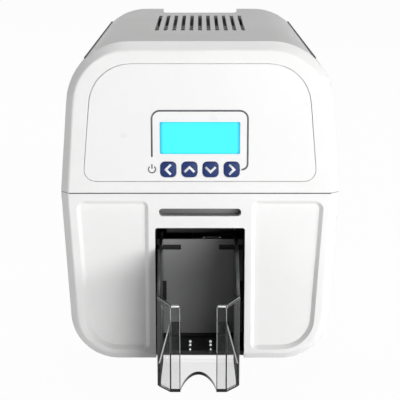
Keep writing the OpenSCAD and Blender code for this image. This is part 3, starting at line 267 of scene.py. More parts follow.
@dataclass(frozen=True)
class Moulded(Finish):
    """Moulded plastic with spark-eroded grain, soft mottling and a few scuffs."""

    colour: Colour
    roughness: float = 0.4
    grain: float = 2600.0
    depth: float = 0.00003
    mottle: float = 0.03
    scuffs: float = 0.12
    coat: float = 0.0
    ior: float = 1.49
    # glow: emission of the plastic's own colour, used as a painted glint
    glow: float = 0.0

    def draw(self, s: Shader) -> None:
        """Draws the grain, the mottling and the scuffs.

        Args:
            s: The finish's shader.
        """
        cloud = s.noise(22.0, detail=3.0)
        dust = s.noise(160.0, detail=4.0, rough=0.65)
        drawn = s.placed(scale=(1.0, 0.12, 1.0), turn=(0.0, 24.0, 31.0))
        scuff = s.noise(420.0, detail=5.0, rough=0.7, vector=drawn).over(0.68, 0.05)
        grain = s.noise(self.grain, rough=0.6) + s.cells(self.grain * 0.55) * 0.6
        tone = (cloud * 0.7 + dust * 0.3).over(0.5, 0.3)
        low, high = 1.0 - self.mottle, 1.0 + self.mottle * 0.6
        s.set(
            Base_Color=s.blend(tone, shade(self.colour, low), shade(self.colour, high)),
            Roughness=(cloud - 0.5) * 0.12 + scuff * self.scuffs + self.roughness,
            Coat_Weight=self.coat,
            Coat_Roughness=0.08,
            IOR=self.ior,
            Emission_Color=self.colour,
            Emission_Strength=self.glow,
        )
        s.relief(grain + scuff * 0.4, self.depth)


@dataclass(frozen=True)
class Metal(Finish):
    """Sheet or turned metal, drawn along one axis, with stains and fine scratches."""

    colour: Colour
    roughness: float = 0.32
    drawn: Point = (0.03, 1.0, 1.0)
    spangle: float = 0.0

    def draw(self, s: Shader) -> None:
        """Draws the streaks, the stains and the zinc flakes.

        Args:
            s: The finish's shader.
        """
        streaks = s.noise(1500.0, detail=4.0, rough=0.7, vector=s.placed(self.drawn))
        stain = s.noise(45.0, detail=4.0, rough=0.6)
        flakes = s.cells(140.0) * self.spangle
        tone = (streaks * 0.5 + stain * 0.5).over(0.5, 0.25)
        s.set(
            Base_Color=s.blend(tone, shade(self.colour, 0.82), self.colour),
            Metallic=1.0,
            Roughness=(stain - 0.5) * 0.2 + (streaks - 0.5) * 0.18 + flakes + self.roughness,
        )
        s.relief(streaks + flakes, 0.00002, strength=0.8)


@dataclass(frozen=True)
class Rubber(Finish):
    """Matt rubber with a ground surface and pale dust in its pores."""

    colour: Colour

    def draw(self, s: Shader) -> None:
        """Draws the pores and the dust.

        Args:
            s: The finish's shader.
        """
        pores = s.noise(3200.0, detail=3.0, rough=0.7)
        dust = s.noise(70.0, detail=4.0, rough=0.6).over(0.62, 0.12)
        s.set(
            Base_Color=s.blend(dust * 0.35, self.colour, shade(self.colour, 3.2)),
            Roughness=pores * 0.12 + 0.66,
            IOR=1.5,
        )
        s.relief(pores, 0.00004)


@dataclass(frozen=True)
class Clear(Finish):
    """Smoked clear plastic: see-through when faced, denser when seen along its surface."""

    tint: Colour
    density: float
    edge_density: float

    def draw(self, s: Shader) -> None:
        """Draws the density and faint smudges.

        Args:
            s: The finish's shader.
        """
        facing = s.wire(s.node("ShaderNodeLayerWeight", None, Blend=0.5), "Facing")
        smudge = s.noise(90.0, detail=4.0, rough=0.6)
        s.set(
            Base_Color=s.blend(smudge.over(0.5, 0.3), shade(self.tint, 0.85), self.tint),
            Alpha=(facing ** 3) * self.edge_density + self.density + (smudge - 0.5) * 0.02,
            Roughness=smudge * 0.06 + 0.05,
            Coat_Weight=0.4,
            IOR=1.49,
        )


@dataclass(frozen=True)
class ClearRimPaintedLight(Finish):
    """Cut edge of the clear plastic with a painted reflection: dark low down, where it looks into
    the desk, then bright higher up.
    """

    dark: Colour
    bright: Colour
    turn_z: float
    soft_z: float

    def draw(self, s: Shader) -> None:
        """Draws the painted reflection's change from dark to bright.

        Args:
            s: The finish's shader.
        """
        _, _, z = s.axes()
        fine = s.noise(900.0, detail=3.0)
        # painted reflection: the edge turns from dark to bright with height, not with any lamp
        painted_light_share = (z + (fine - 0.5) * 0.004).over(self.turn_z, self.soft_z)
        s.set(
            Base_Color=s.blend(painted_light_share, self.dark, self.bright),
            Roughness=fine * 0.1 + 0.12,
            Coat_Weight=0.1,
            IOR=1.25,
        )


@dataclass(frozen=True)
class Screen(Finish):
    """Backlit display: an even glow that turns bluer towards the window's edges."""

    glow: Colour
    rim: Colour
    half_width: float
    half_height: float
    middle: float

    def draw(self, s: Shader) -> None:
        """Draws the glow, its bluer rim and the faint dots of the display.

        Args:
            s: The finish's shader.
        """
        x, _, z = s.axes()
        side = abs(x).over(self.half_width - 0.0014, 0.0012)
        level = abs(z - self.middle).over(self.half_height - 0.0009, 0.0009)
        uneven = s.noise(60.0)
        dots = (x.wave(9200.0) * z.wave(9200.0)).over(0.0, 0.9)
        mask = (side * 0.9 + level * 0.5 + (uneven - 0.5) * 0.2 + dots * 0.04).clamped()
        s.set(
            Base_Color=s.blend(mask, shade(self.glow, 0.1), shade(self.rim, 0.1)),
            Emission_Color=s.blend(mask, self.glow, self.rim),
            Emission_Strength=0.96,
            Roughness=uneven * 0.1 + 0.12,
            IOR=1.45,
        )


@dataclass(frozen=True)
class Board(Finish):
    """Circuit board: green mask with raised tracks and tinned pads, and dark parts above it."""

    top: float
    mask: Colour = (0.01, 0.11, 0.045)

    def draw(self, s: Shader) -> None:
        """Draws the tracks, the pads and the parts.

        Args:
            s: The finish's shader.
        """
        x, y, z = s.axes()
        bend = s.noise(60.0, detail=1.0) - 0.5
        tracks = (x + bend * 0.01).wave(3300.0).over(0.55, 0.12)
        tracks *= s.noise(38.0, 0.0).over(0.5, 0.02)
        lanes = (y + bend * 0.012).wave(2700.0).over(0.6, 0.12)
        lanes *= s.noise(47.0, 0.0).over(0.52, 0.02)
        pads = 1.0 - s.cells(230.0).over(0.16, 0.01)
        parts = z.over(self.top, 0.00005)
        green = s.blend((tracks + lanes).at_most(1.0), self.mask, shade(self.mask, 1.9))
        plate = s.blend(pads * 0.9, green, (0.62, 0.6, 0.52))
        dark = s.blend(s.noise(500.0).over(0.5, 0.2), (0.02, 0.02, 0.022), (0.035, 0.035, 0.037))
        s.set(
            Base_Color=s.blend(parts, plate, dark),
            Metallic=pads * (1.0 - parts) * 0.9,
            Roughness=parts * 0.3 + 0.28,
            IOR=1.5,
        )
        s.relief(tracks + lanes + pads, 0.00004)


@dataclass(frozen=True)
class Film(Finish):
    """Wound printing film: a glossy side with fine rings on its ends."""

    axis_y: float
    axis_z: float
    colour: Colour = (0.012, 0.013, 0.03)
    panel: Colour = (0.16, 0.012, 0.06)

    def draw(self, s: Shader) -> None:
        """Draws the rings and the coloured panels.

        Args:
            s: The finish's shader.
        """
        _, y, z = s.axes()
        reach = ((y - self.axis_y) ** 2.0 + (z - self.axis_z) ** 2.0) ** 0.5
        rings = (reach + (s.noise(40.0, 0.0) - 0.5) * 0.0004).wave(26000.0)
        panels = s.noise(25.0, 0.0, vector=s.placed((0.02, 1.0, 1.0))).over(0.5, 0.05)
        s.set(
            Base_Color=s.blend(panels * 0.5, self.colour, self.panel),
            Roughness=rings * 0.04 + 0.2,
            Coat_Weight=0.3,
            IOR=1.55,
        )
        s.relief(rings, 0.00001)


@dataclass(frozen=True)
class Ink(Finish):
    """Printed mark: flat ink with slightly uneven cover."""

    colour: Colour
    roughness: float = 0.42

    def draw(self, s: Shader) -> None:
        """Draws the uneven cover.

        Args:
            s: The finish's shader.
        """
        cover = s.noise(1800.0, detail=3.0)
        thin, full = shade(self.colour, 0.94), shade(self.colour, 1.05)
        s.set(
            Base_Color=s.blend(cover.over(0.5, 0.3), thin, full),
            Roughness=cover * 0.08 + self.roughness,
        )
        s.relief(cover, 0.000008)


@lru_cache(maxsize=None)
def material_of(finish: Finish) -> bpy.types.Material:
    """The material of a finish, built once."""
    return finish.make()


WHITE_SHELL = Moulded("white_shell", (0.86, 0.86, 0.855), 0.42, coat=0.05)
WHITE_FASCIA = Moulded("white_fascia", (0.875, 0.875, 0.873), 0.3, grain=3400.0, depth=0.000005,
                       mottle=0.01, scuffs=0.01, coat=0.15)
WHITE_INNER = Moulded("white_inner", (0.74, 0.74, 0.73), 0.5)
CHARCOAL = Moulded("charcoal_liner", (0.011, 0.011, 0.012), 0.5, scuffs=0.08, ior=1.35)
BAY_GREY = Moulded("bay_grey", (0.3, 0.301, 0.305), 0.5, mottle=0.05)
FLAP_GREY = Moulded("flap_grey", (0.165, 0.165, 0.17), 0.45, mottle=0.06)
BLACK = Moulded("black_moulding", (0.02, 0.02, 0.022), 0.38)
NAVY = Moulded("navy_key", (0.014, 0.036, 0.15), 0.45, grain=3000.0, depth=0.00001, mottle=0.08,
               ior=1.33)
RESIN = Moulded("gear_resin", (0.72, 0.68, 0.58), 0.36, mottle=0.05)
CLEANER = Moulded("cleaning_sleeve", (0.12, 0.42, 0.62), 0.3, mottle=0.05, coat=0.3)
SPOOL = Moulded("spool_black", (0.05, 0.05, 0.056), 0.4)
HEAD = Moulded("head_ceramic", (0.5, 0.38, 0.24), 0.22, mottle=0.06, coat=0.4)
WEIGHT = Moulded("weight_grey", (0.12, 0.12, 0.125), 0.45)
STEEL = Metal("zinc_steel", (0.6, 0.61, 0.62), 0.34, spangle=0.12)
BRIGHT = Metal("bright_steel", (0.7, 0.7, 0.7), 0.22)
ALUMINIUM = Metal("aluminium", (0.74, 0.75, 0.76), 0.3, drawn=(1.0, 0.03, 1.0))
BRASS = Metal("brass", (0.72, 0.52, 0.22), 0.28)
MAGNET = Metal("magnet", (0.2, 0.2, 0.21), 0.45)
ROLLER_RUBBER = Rubber("roller_rubber", (0.05, 0.05, 0.052))
STRIP_RUBBER = Rubber("strip_rubber", (0.09, 0.09, 0.092))
FOOT_RUBBER = Rubber("foot_rubber", (0.03, 0.03, 0.03))
TRAY_SHEET = Clear("smoked_sheet", (0.1, 0.105, 0.11), 0.09, 0.3)
TRAY_WALL = Clear("smoked_wall", (0.02, 0.021, 0.023), 0.68, 0.3)
# painted reflection on the tray's cut edges: dark below 31 mm, bright above
TRAY_EDGE_PAINTED_LIGHT = ClearRimPaintedLight("smoked_edge_painted_light", (0.012, 0.013, 0.014), (0.3, 0.305, 0.31), 0.0313, 0.002)
# painted highlight: near-white opaque plastic stands for the glint on the clear tray's cut tops
TRAY_PAINTED_HIGHLIGHT_TIP = Moulded("painted_highlight_tip", (0.9, 0.9, 0.9), 0.12, coat=0.6)
# painted highlight: the rail's rounding turns bright above 12 mm
TRAY_PAINTED_HIGHLIGHT_LINE = ClearRimPaintedLight("painted_highlight_edge", (0.03, 0.031, 0.032), (0.4, 0.405, 0.41), 0.012, 0.004)
TRAY_FLOOR = Clear("smoked_floor", (0.1, 0.105, 0.1), 0.03, 0.22)
TRAY_HAIR = Moulded("wall_edge", (0.03, 0.031, 0.032), 0.22, coat=0.2)
# painted reflection on the posts' outer edges: dark below 55 mm, bright above
TRAY_OUTER_PAINTED_LIGHT = ClearRimPaintedLight("outer_edge_painted_light", (0.014, 0.015, 0.016), (0.3, 0.305, 0.31), 0.0555, 0.002)
# painted glint: the pips glow white though nothing lights them
PIP_PAINTED_GLINT = Moulded("pip_painted_glint", (0.9, 0.9, 0.9), 0.2, coat=0.6, glow=0.55)
GREY_INK = Ink("grey_ink", (0.115, 0.115, 0.12))
WHITE_INK = Ink("white_ink", (0.86, 0.87, 0.88))


# ---- mesh tools


class Plane(Enum):
    """Plane of a flat outline: the two axes of its points and the axis of its depth."""

    FACE = (0, 2, 1)
    FLOOR = (0, 1, 2)
    SIDE = (1, 2, 0)

    def at(self, flat: Flat, level: float) -> Vector:
        """The point in space of a point in the plane, at a level."""
        place = dict(zip(self.value, (*flat, level)))
        return Vector([place[axis] for axis in range(3)])


def local(corners: Iterable[Vector]) -> list[Vector]:
    """Points of the model, measured as a form is."""
    return [(corner - Vector((0.0, FACE_Y, 0.0))) / MM for corner in corners]


def rectangle(left: float, low: float, right: float, high: float) -> list[Flat]:
    """Corners of a rectangle, from its lower left one."""
    return [(left, low), (right, low), (right, high), (left, high)]


def both(reach: float) -> Flat:
    """The same distance left and right of the middle."""
    return -reach, reach


def mirrored(path: Sequence[Flat]) -> list[Flat]:
    """A path and then its mirror image, walked back."""
    return [*path, *((-across, up) for across, up in reversed(path))]


def fan(start: float, end: float, steps: int = 24) -> list[float]:
    """Angles in radians, spread evenly between two angles in degrees."""
    return [math.radians(start + (end - start) * k / steps) for k in range(steps + 1)]


def show(name: str, data: bpy.types.ID) -> bpy.types.Object:
    """Adds an object with its mesh, lamp or camera to the scene.

    Args:
        name: Name of the object.
        data: Its mesh, lamp or camera.

    Returns:
        The object.
    """
    shown = bpy.data.objects.new(name, data)
    bpy.context.scene.collection.objects.link(shown)
    return shown


def upright_to(axis: Point, place: Point) -> Matrix:
    """Matrix that turns an upright form towards an axis and then moves it to its place."""
    turn = Vector(UP).rotation_difference(Vector(axis))
    return Matrix.LocRotScale(Vector(place), turn, None)


class Form:
    """A mesh in the making, in millimetres from the middle, the face and the desk."""

    def __init__(self) -> None:
        """Starts with nothing."""
        self.bm = bmesh.new()

    @staticmethod
    def _paint(faces: Iterable[Face], finish: int) -> None:
        """Gives faces a finish by its number."""
        for face in faces:
            face.material_index = finish

    @contextmanager
    def painting(self, finish: int) -> Iterator[None]:
        """Gives all faces that are made meanwhile a finish.

        Args:
            finish: Number of the finish.

        Returns:
            The context that the faces are made in.
        """
        before = set(self.bm.faces)
        yield
        self._paint(set(self.bm.faces) - before, finish)

    def paint_towards(self, way: Point, limit: float, finish: int, among: Iterable[Face]) -> None:
        """Gives the faces that look one way a finish.

        Args:
            way: Direction.
            limit: Least cosine between a face's normal and the direction.
            finish: Number of the finish.
            among: Faces to choose from.
        """
        bmesh.ops.recalc_face_normals(self.bm, faces=among)
        self.bm.normal_update()
        self._paint([f for f in among if f.normal.dot(Vector(way)) > limit], finish)

    def _bevel(self, parts: list, affect: str, width: float, steps: int) -> list[Face]:
        """Rounds edges or vertices with a number of faces across, and returns the new faces."""
        return bmesh.ops.bevel(
            self.bm, geom=parts, offset=width, offset_type="OFFSET", affect=affect,
            segments=steps, profile=0.5, material=-1, clamp_overlap=True,
        )["faces"]

    def soften(self, verts: Iterable[Vert], width: float, steps: int = 2, over: float = 30.0,
               trim: Optional[int] = None) -> None:
        """Rounds the sharp edges of some vertices.

        Args:
            verts: Vertices whose edges are looked at.
            width: Width of the rounding.
            steps: Faces across it.
            over: Least angle of an edge that is rounded, in degrees.
            trim: Finish number of the rounding, or None for the one beside it.
        """
        least = math.radians(over)
        edges = {e for v in verts for e in v.link_edges if e.calc_face_angle(0.0) > least}
        made = self._bevel(list(edges), "EDGES", width, steps)
        if trim is not None:
            self._paint(made, trim)

    def block(self, low: Point, high: Point, soft: float, steps: int = 2, finish: int = 0) -> None:
        """Adds a block with rounded edges.

        Args:
            low: Lowest corner.
            high: Highest corner.
            soft: Width of the rounding.
            steps: Faces across the rounding.
            finish: Number of its finish.
        """
        low, high = Vector(low), Vector(high)
        placing = Matrix.LocRotScale((low + high) / 2, None, high - low)
        with self.painting(finish):
            made = bmesh.ops.create_cube(self.bm, size=1.0, matrix=placing)["verts"]
            self.soften(made, soft, steps)

    def rod(self, start: Point, end: Point, radius: float, sides: int = 16, soft: float = 0.0,
            finish: int = 0) -> None:
        """Adds a rod with rounded rims.

        Args:
            start: Middle of one end.
            end: Middle of the other end.
            radius: Its radius.
            sides: Faces round it.
            soft: Width of the rounding at its rims.
            finish: Number of its finish.
        """
        way = Vector(end) - Vector(start)
        placing = upright_to(way, (Vector(start) + Vector(end)) / 2)
        with self.painting(finish):
            made = bmesh.ops.create_cone(
                self.bm, cap_ends=True, segments=sides, radius1=radius, radius2=radius,
                depth=way.length, matrix=placing,
            )["verts"]
            if soft:
                self.soften(made, soft, over=50.0)

    def _lay(self, plane: Plane, path: Sequence[Flat], level: float) -> list[Vert]:
        """Adds a vertex for each point of a flat path at a level of the plane's third axis."""
        return [self.bm.verts.new(plane.at(point, level)) for point in path]

    def _round(self, corners: Sequence[Vert], rounds: Optional[dict[int, float]],
               steps: int) -> None:
        """Rounds the corners that a radius is given for, by their number."""
        for index, radius in (rounds or {}).items():
            self._bevel([corners[index]], "VERTICES", radius, steps)

    def _shift(self, plane: Plane, made: Iterable[object], depth: Flat) -> None:
        """Moves the vertices among newly extruded parts from one depth to the other."""
        step = plane.at((0.0, 0.0), depth[1] - depth[0])
        bmesh.ops.translate(self.bm, vec=step, verts=[v for v in made if isinstance(v, Vert)])

    def sheet(self, plane: Plane, outline: Sequence[Flat], depth: Flat,
              rounds: Optional[dict[int, float]] = None, steps: int = 6, soft: float = 0.0,
              finish: int = 0, rim: Optional[int] = None, trim: Optional[int] = None) -> list[Face]:
        """Adds a flat piece cut to an outline.

        Args:
            plane: Plane of the outline.
            outline: Corners of the outline.
            depth: Start and end of the piece along the plane's third axis.
            rounds: Radius of each rounded corner, by its number.
            steps: Faces round a corner.
            soft: Width of the rounding of its edges.
            finish: Finish number of its two faces.
            rim: Finish number of its edges, or None for the same.
            trim: Finish number of the roundings, or None for the same.

        Returns:
            Its faces.
        """
        before = set(self.bm.faces)
        corners = self._lay(plane, outline, depth[0])
        ring = [self.bm.edges.new(pair) for pair in zip(corners, corners[1:] + corners[:1])]
        bmesh.ops.edgeloop_fill(self.bm, edges=ring)
        self._round(corners, rounds, steps)
        face = next(iter(set(self.bm.faces) - before))
        raised = bmesh.ops.extrude_face_region(self.bm, geom=[face], use_keep_orig=True)["geom"]
        self._shift(plane, raised, depth)
        made = set(self.bm.faces) - before
        self._paint(made, finish if rim is None else rim)
        self._paint([f for f in made if abs(f.normal[plane.value[2]]) > 0.9], finish)
        if soft:
            self.soften(list({v for f in made for v in f.verts}), soft, trim=trim)
        return [f for f in self.bm.faces if f not in before]

    def strip(self, plane: Plane, path: Sequence[Flat], depth: Flat,
              rounds: Optional[dict[int, float]] = None, steps: int = 6) -> None:
        """Adds a strip that stands on its edge along a path, to be given a thickness later.

        Args:
            plane: Plane of the path.
            path: Points of the path.
            depth: Start and end of the strip along the plane's third axis.
            rounds: Radius of each rounded corner, by its number.
            steps: Faces round a corner.
        """
        before = set(self.bm.edges)
        points = self._lay(plane, path, depth[0])
        for pair in zip(points, points[1:]):
            self.bm.edges.new(pair)
        self._round(points, rounds, steps)
        line = [e for e in self.bm.edges if e not in before]
        self._shift(plane, bmesh.ops.extrude_edge_only(self.bm, edges=line)["geom"], depth)

    def revolve(self, profile: Sequence[Flat], centre: Point, axis: Point, sides: int) -> None:
        """Turns a profile into a round form.

        Args:
            profile: Points as radius and distance along the axis; the ends may lie on the axis.
            centre: Start of the axis.
            axis: Direction of the axis.
            sides: Faces round it.
        """
        before = set(self.bm.verts)
        points = [self.bm.verts.new((radius, 0.0, along)) for radius, along in profile]
        edges = [self.bm.edges.new(pair) for pair in zip(points, points[1:])]
        bmesh.ops.spin(
            self.bm, geom=points + edges, cent=(0, 0, 0), axis=UP, dvec=(0, 0, 0), angle=math.tau,
            steps=sides, use_merge=True, use_duplicate=False,
        )
        bmesh.ops.remove_doubles(self.bm, verts=list(set(self.bm.verts) - before), dist=0.0005)
        made = list(set(self.bm.verts) - before)
        bmesh.ops.transform(self.bm, matrix=upright_to(axis, centre), verts=made)

    def coil(self, centre: Point, radius: float, wire: float, rise: float, turns: int) -> None:
        """Adds an upright coil spring.

        Args:
            centre: Middle of its lower end.
            radius: Radius of the turns.
            wire: Radius of the wire.
            rise: Height of the spring.
            turns: Number of turns.
        """
        placing = upright_to(FRONT, Vector(centre) + Vector((radius, 0, 0)))
        ring = bmesh.ops.create_circle(self.bm, cap_ends=True, radius=wire, segments=8,
                                       matrix=placing)["verts"]
        steps = turns * 20
        edges = list({e for v in ring for e in v.link_edges})
        faces = list({f for v in ring for f in v.link_faces})
        bmesh.ops.spin(
            self.bm, geom=ring + edges + faces, cent=centre, axis=UP, dvec=(0, 0, rise / steps),
            angle=math.tau * turns, steps=steps, use_merge=False, use_duplicate=False,
        )

    def screw(self, place: Point, axis: Point, radius: float = 2.6) -> None:
        """Adds a pan screw head with finish 0, and a cross recess with finish 1.

        Args:
            place: Middle of the seat under the head.
            axis: Direction that the head looks in.
            radius: Radius of the head.
        """
        tall = radius * 0.55
        head = [(0, -0.4), (radius, -0.4), (radius, tall * 0.35), (radius * 0.86, tall * 0.75),
                (radius * 0.5, tall), (radius * 0.34, tall), (radius * 0.2, tall * 0.45),
                (0, tall * 0.4)]
        self.revolve(head, place, axis, 24)
        way = Vector(axis).normalized()
        side = way.orthogonal().normalized()
        for arm in (side, way.cross(side)):
            turn = Matrix((arm, way.cross(arm), way)).transposed()
            spot = Vector(place) + way * (tall * 0.98)
            slot = Matrix.LocRotScale(spot, turn, (radius, radius * 0.2, 0.1))
            with self.painting(1):
                bmesh.ops.create_cube(self.bm, size=1.0, matrix=slot)

    def settle(self, name: str, body: str, *finishes: Finish, replaces: Sequence[str] = (),
               angle: float = 38.0, thick: float = 0.0) -> None:
        """Turns the mesh into a piece of the printer.

        Args:
            name: Name of the piece.
            body: Body that it rides on.
            finishes: Its finishes, in the order of their numbers.
            replaces: Nodes that it stands for.
            angle: Edges sharper than this stay sharp, in degrees.
            thick: Thickness that its strips get, in millimetres.
        """
        placing = Matrix.Translation((0, FACE_Y, 0)) @ Matrix.Scale(MM, 4)
        bmesh.ops.transform(self.bm, matrix=placing, verts=self.bm.verts)
        bmesh.ops.recalc_face_normals(self.bm, faces=self.bm.faces)
        mesh = bpy.data.meshes.new(name)
        self.bm.to_mesh(mesh)
        self.bm.free()
        (mesh.shade_flat if thick else mesh.shade_smooth)()
        mesh.set_sharp_from_angle(angle=math.radians(angle))
        piece = show(name, mesh)
        for finish in finishes:
            mesh.materials.append(material_of(finish))
        if thick:
            wall = piece.modifiers.new("thickness", "SOLIDIFY")
            wall.thickness, wall.offset, wall.use_even_offset = thick * MM, 0.0, True
        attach(piece, body)
        if replaces:
            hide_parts(*replaces)
        LOG.info("%s: %d faces on %s", name, len(mesh.polygons), body)


def dress(finish: Finish, *nodes: str) -> None:
    """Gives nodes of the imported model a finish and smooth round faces.

    Args:
        finish: The finish.
        nodes: Names of the nodes.
    """
    for node in nodes:
        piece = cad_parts[node]
        mesh = piece.data
        mesh.materials.clear()
        mesh.materials.append(material_of(finish))
        own = mesh.attributes.get("custom_normal")
        if own:
            mesh.attributes.remove(own)
        mesh.shade_smooth()
        piece.modifiers.new("weld", "WELD").merge_threshold = WELD_REACH
        piece.modifiers.new("split", "EDGE_SPLIT").split_angle = math.radians(NODE_ANGLE)
        piece.modifiers.new("even", "WEIGHTED_NORMAL").keep_sharp = True
        LOG.info("%s wears %s", node, finish.name)


# ---- sub-assemblies


@dataclass
class Housing:
    """Finishes of the shells, and the small pieces on them.

    The cover's sides lean inwards by lean at the face and by more_lean more at the rear.
    """

    depth: float = 282.0
    half_width: float = 108.0
    top: float = 256.0
    crown: float = 48.0
    lean: float = 4.5
    more_lean: float = 2.5
    screw_x: float = 92.0
    screw_rows: tuple[Flat, ...] = ((24.0, 0.88), (122.0, 1.0))
    foot_x: float = 52.0
    foot_y: Flat = (24.0, 258.0)
    plate_y: Flat = (44.3, 44.98)
    plate_low: float = 10.2
    slot_z: float = 124.1
    slot_h: float = 6.1
    seam_z: float = 139.5
    strip_z: float = 243.1
    strip_y: Flat = (7.6, 274.4)
    strip_angle: float = 47.0
    ribs: int = 5

    def build(self) -> None:
        """Dresses the shells and adds their small pieces."""
        dress(WHITE_SHELL, "lower_case", "top_cover", "rear_hood", "feeder_housing", "feeder_lid")
        dress(WHITE_INNER, "lid_liner")
        dress(WEIGHT, "card_weight")
        dress(FOOT_RUBBER, "rubber_feet")
        dress(STEEL, "base_plate", "striker_plate")
        dress(CHARCOAL, "bay_liner")
        dress(BRIGHT, "hinge_pins")
        dress(MAGNET, "lid_magnet")
        self.rear_screws()
        self.foot_treads()
        self.bay_plate()
        self.slot_flap()
        self.seam_shade_strip()
        self.shoulder_strips()
        self.lid_grip()

    def rear_screws(self) -> None:
        """Adds the screws that hold the rear wall, closer together in the lower row."""
        form = Form()
        for x in both(self.screw_x):
            for z, share in self.screw_rows:
                form.screw((x * share, self.depth, z), BACK)
        form.settle("rear_screws", "case", BRIGHT, BLACK)

    def foot_treads(self) -> None:
        """Adds the ribbed treads under the feet."""
        tread = [(3.4, 0.9), (3.4, 0.15), (3.9, 0.0), (4.6, 0.0), (5.1, 0.4), (5.6, 0.0),
                 (6.6, 0.0), (7.4, 0.25), (7.9, 0.9)]
        form = Form()
        for x in both(self.foot_x):
            for y in self.foot_y:
                form.revolve(tread, (x, y, 0.0), UP, 36)
        form.settle("foot_treads", "case", FOOT_RUBBER)

    def bay_plate(self) -> None:
        """Adds the grey plate at the back of the stacker bay, with its windows."""
        low = self.plate_low
        sides = mirrored([(34.8, low), (34.8, 38.0), (27.4, 38.0), (27.4, 55.3), (34.8, 55.3),
                          (34.8, 81.8), (15.5, 81.8), (15.5, 86.0), (34.8, 86.0), (34.8, 90.6)])
        notches = mirrored([(-23.7, low), (-23.7, 19.8), (-15.6, 19.8), (-15.6, low)])
        form = Form()
        form.sheet(Plane.FACE, sides + notches, self.plate_y)
        form.settle("bay_plate", "case", BAY_GREY)

    def slot_flap(self) -> None:
        """Adds the grey flap that closes the hand feed slot from inside, and its hinge rod."""
        half, lap = 31.6, 1.2
        reach = self.slot_h / 2 + lap
        low, high = self.slot_z - reach, self.slot_z + reach
        form = Form()
        form.sheet(Plane.FACE, rectangle(-half, low, half, high), (8.2, 9.0), soft=0.2)
        ends = [(x, 7.9, high - 1.5) for x in both(half + 0.2)]
        form.rod(*ends, 0.7, finish=1)
        form.settle("slot_flap", "case", FLAP_GREY, CHARCOAL)

    def seam_shade_strip(self) -> None:
        """Adds a black strip of painted shade that fills the seam under the top cover, flush with
        the face.
        """
        # painted shade: a black strip darkens the seam where the gap's shadow falls
        half, wide, front, back = 107.0, 1.6, -0.05, 120.0
        right = [(half - 6.0, front), (half, 5.6), (half, back), (half - wide, back),
                 (half - wide, 6.8), (half - 6.6, 1.9)]
        form = Form()
        form.sheet(Plane.FLOOR, mirrored(right), (self.seam_z - 0.56, self.seam_z - 0.02))
        form.settle("seam_shade_strip", "case", BLACK)

    def shoulder_strips(self) -> None:
        """Adds the dark rubber strips that lie in the grooves along the shoulders."""
        form = Form()
        for side in (-1, 1):
            ends = [(side * self.strip_x(y), y, self.strip_z) for y in self.strip_y]
            form.rod(*ends, 1.08, soft=0.5)
        form.settle("shoulder_strips", "cover", STRIP_RUBBER)

    def strip_x(self, y: float) -> float:
        """Distance of a shoulder strip from the middle.

        Args:
            y: Distance from the face.

        Returns:
            The distance, which falls as the cover narrows towards the rear.
        """
        lean = math.radians(self.lean + self.more_lean * y / self.depth)
        rise = self.top - self.seam_z - self.crown
        crown_x = self.half_width - (self.crown + math.sin(lean) * rise) / math.cos(lean)
        return crown_x + self.crown * math.cos(math.radians(self.strip_angle))

    def lid_grip(self) -> None:
        """Adds grip ribs to the feeder's lid."""
        low, high = local(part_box("feeder_lid"))
        form = Form()
        for k in range(self.ribs):
            ends = [(x, low.y + 8.0 + 3.0 * k, high.z - 1.45) for x in both(14.0)]
            form.rod(*ends, 0.5, sides=12, soft=0.2)
        form.settle("lid_grip", "hopper_lid", WHITE_SHELL)


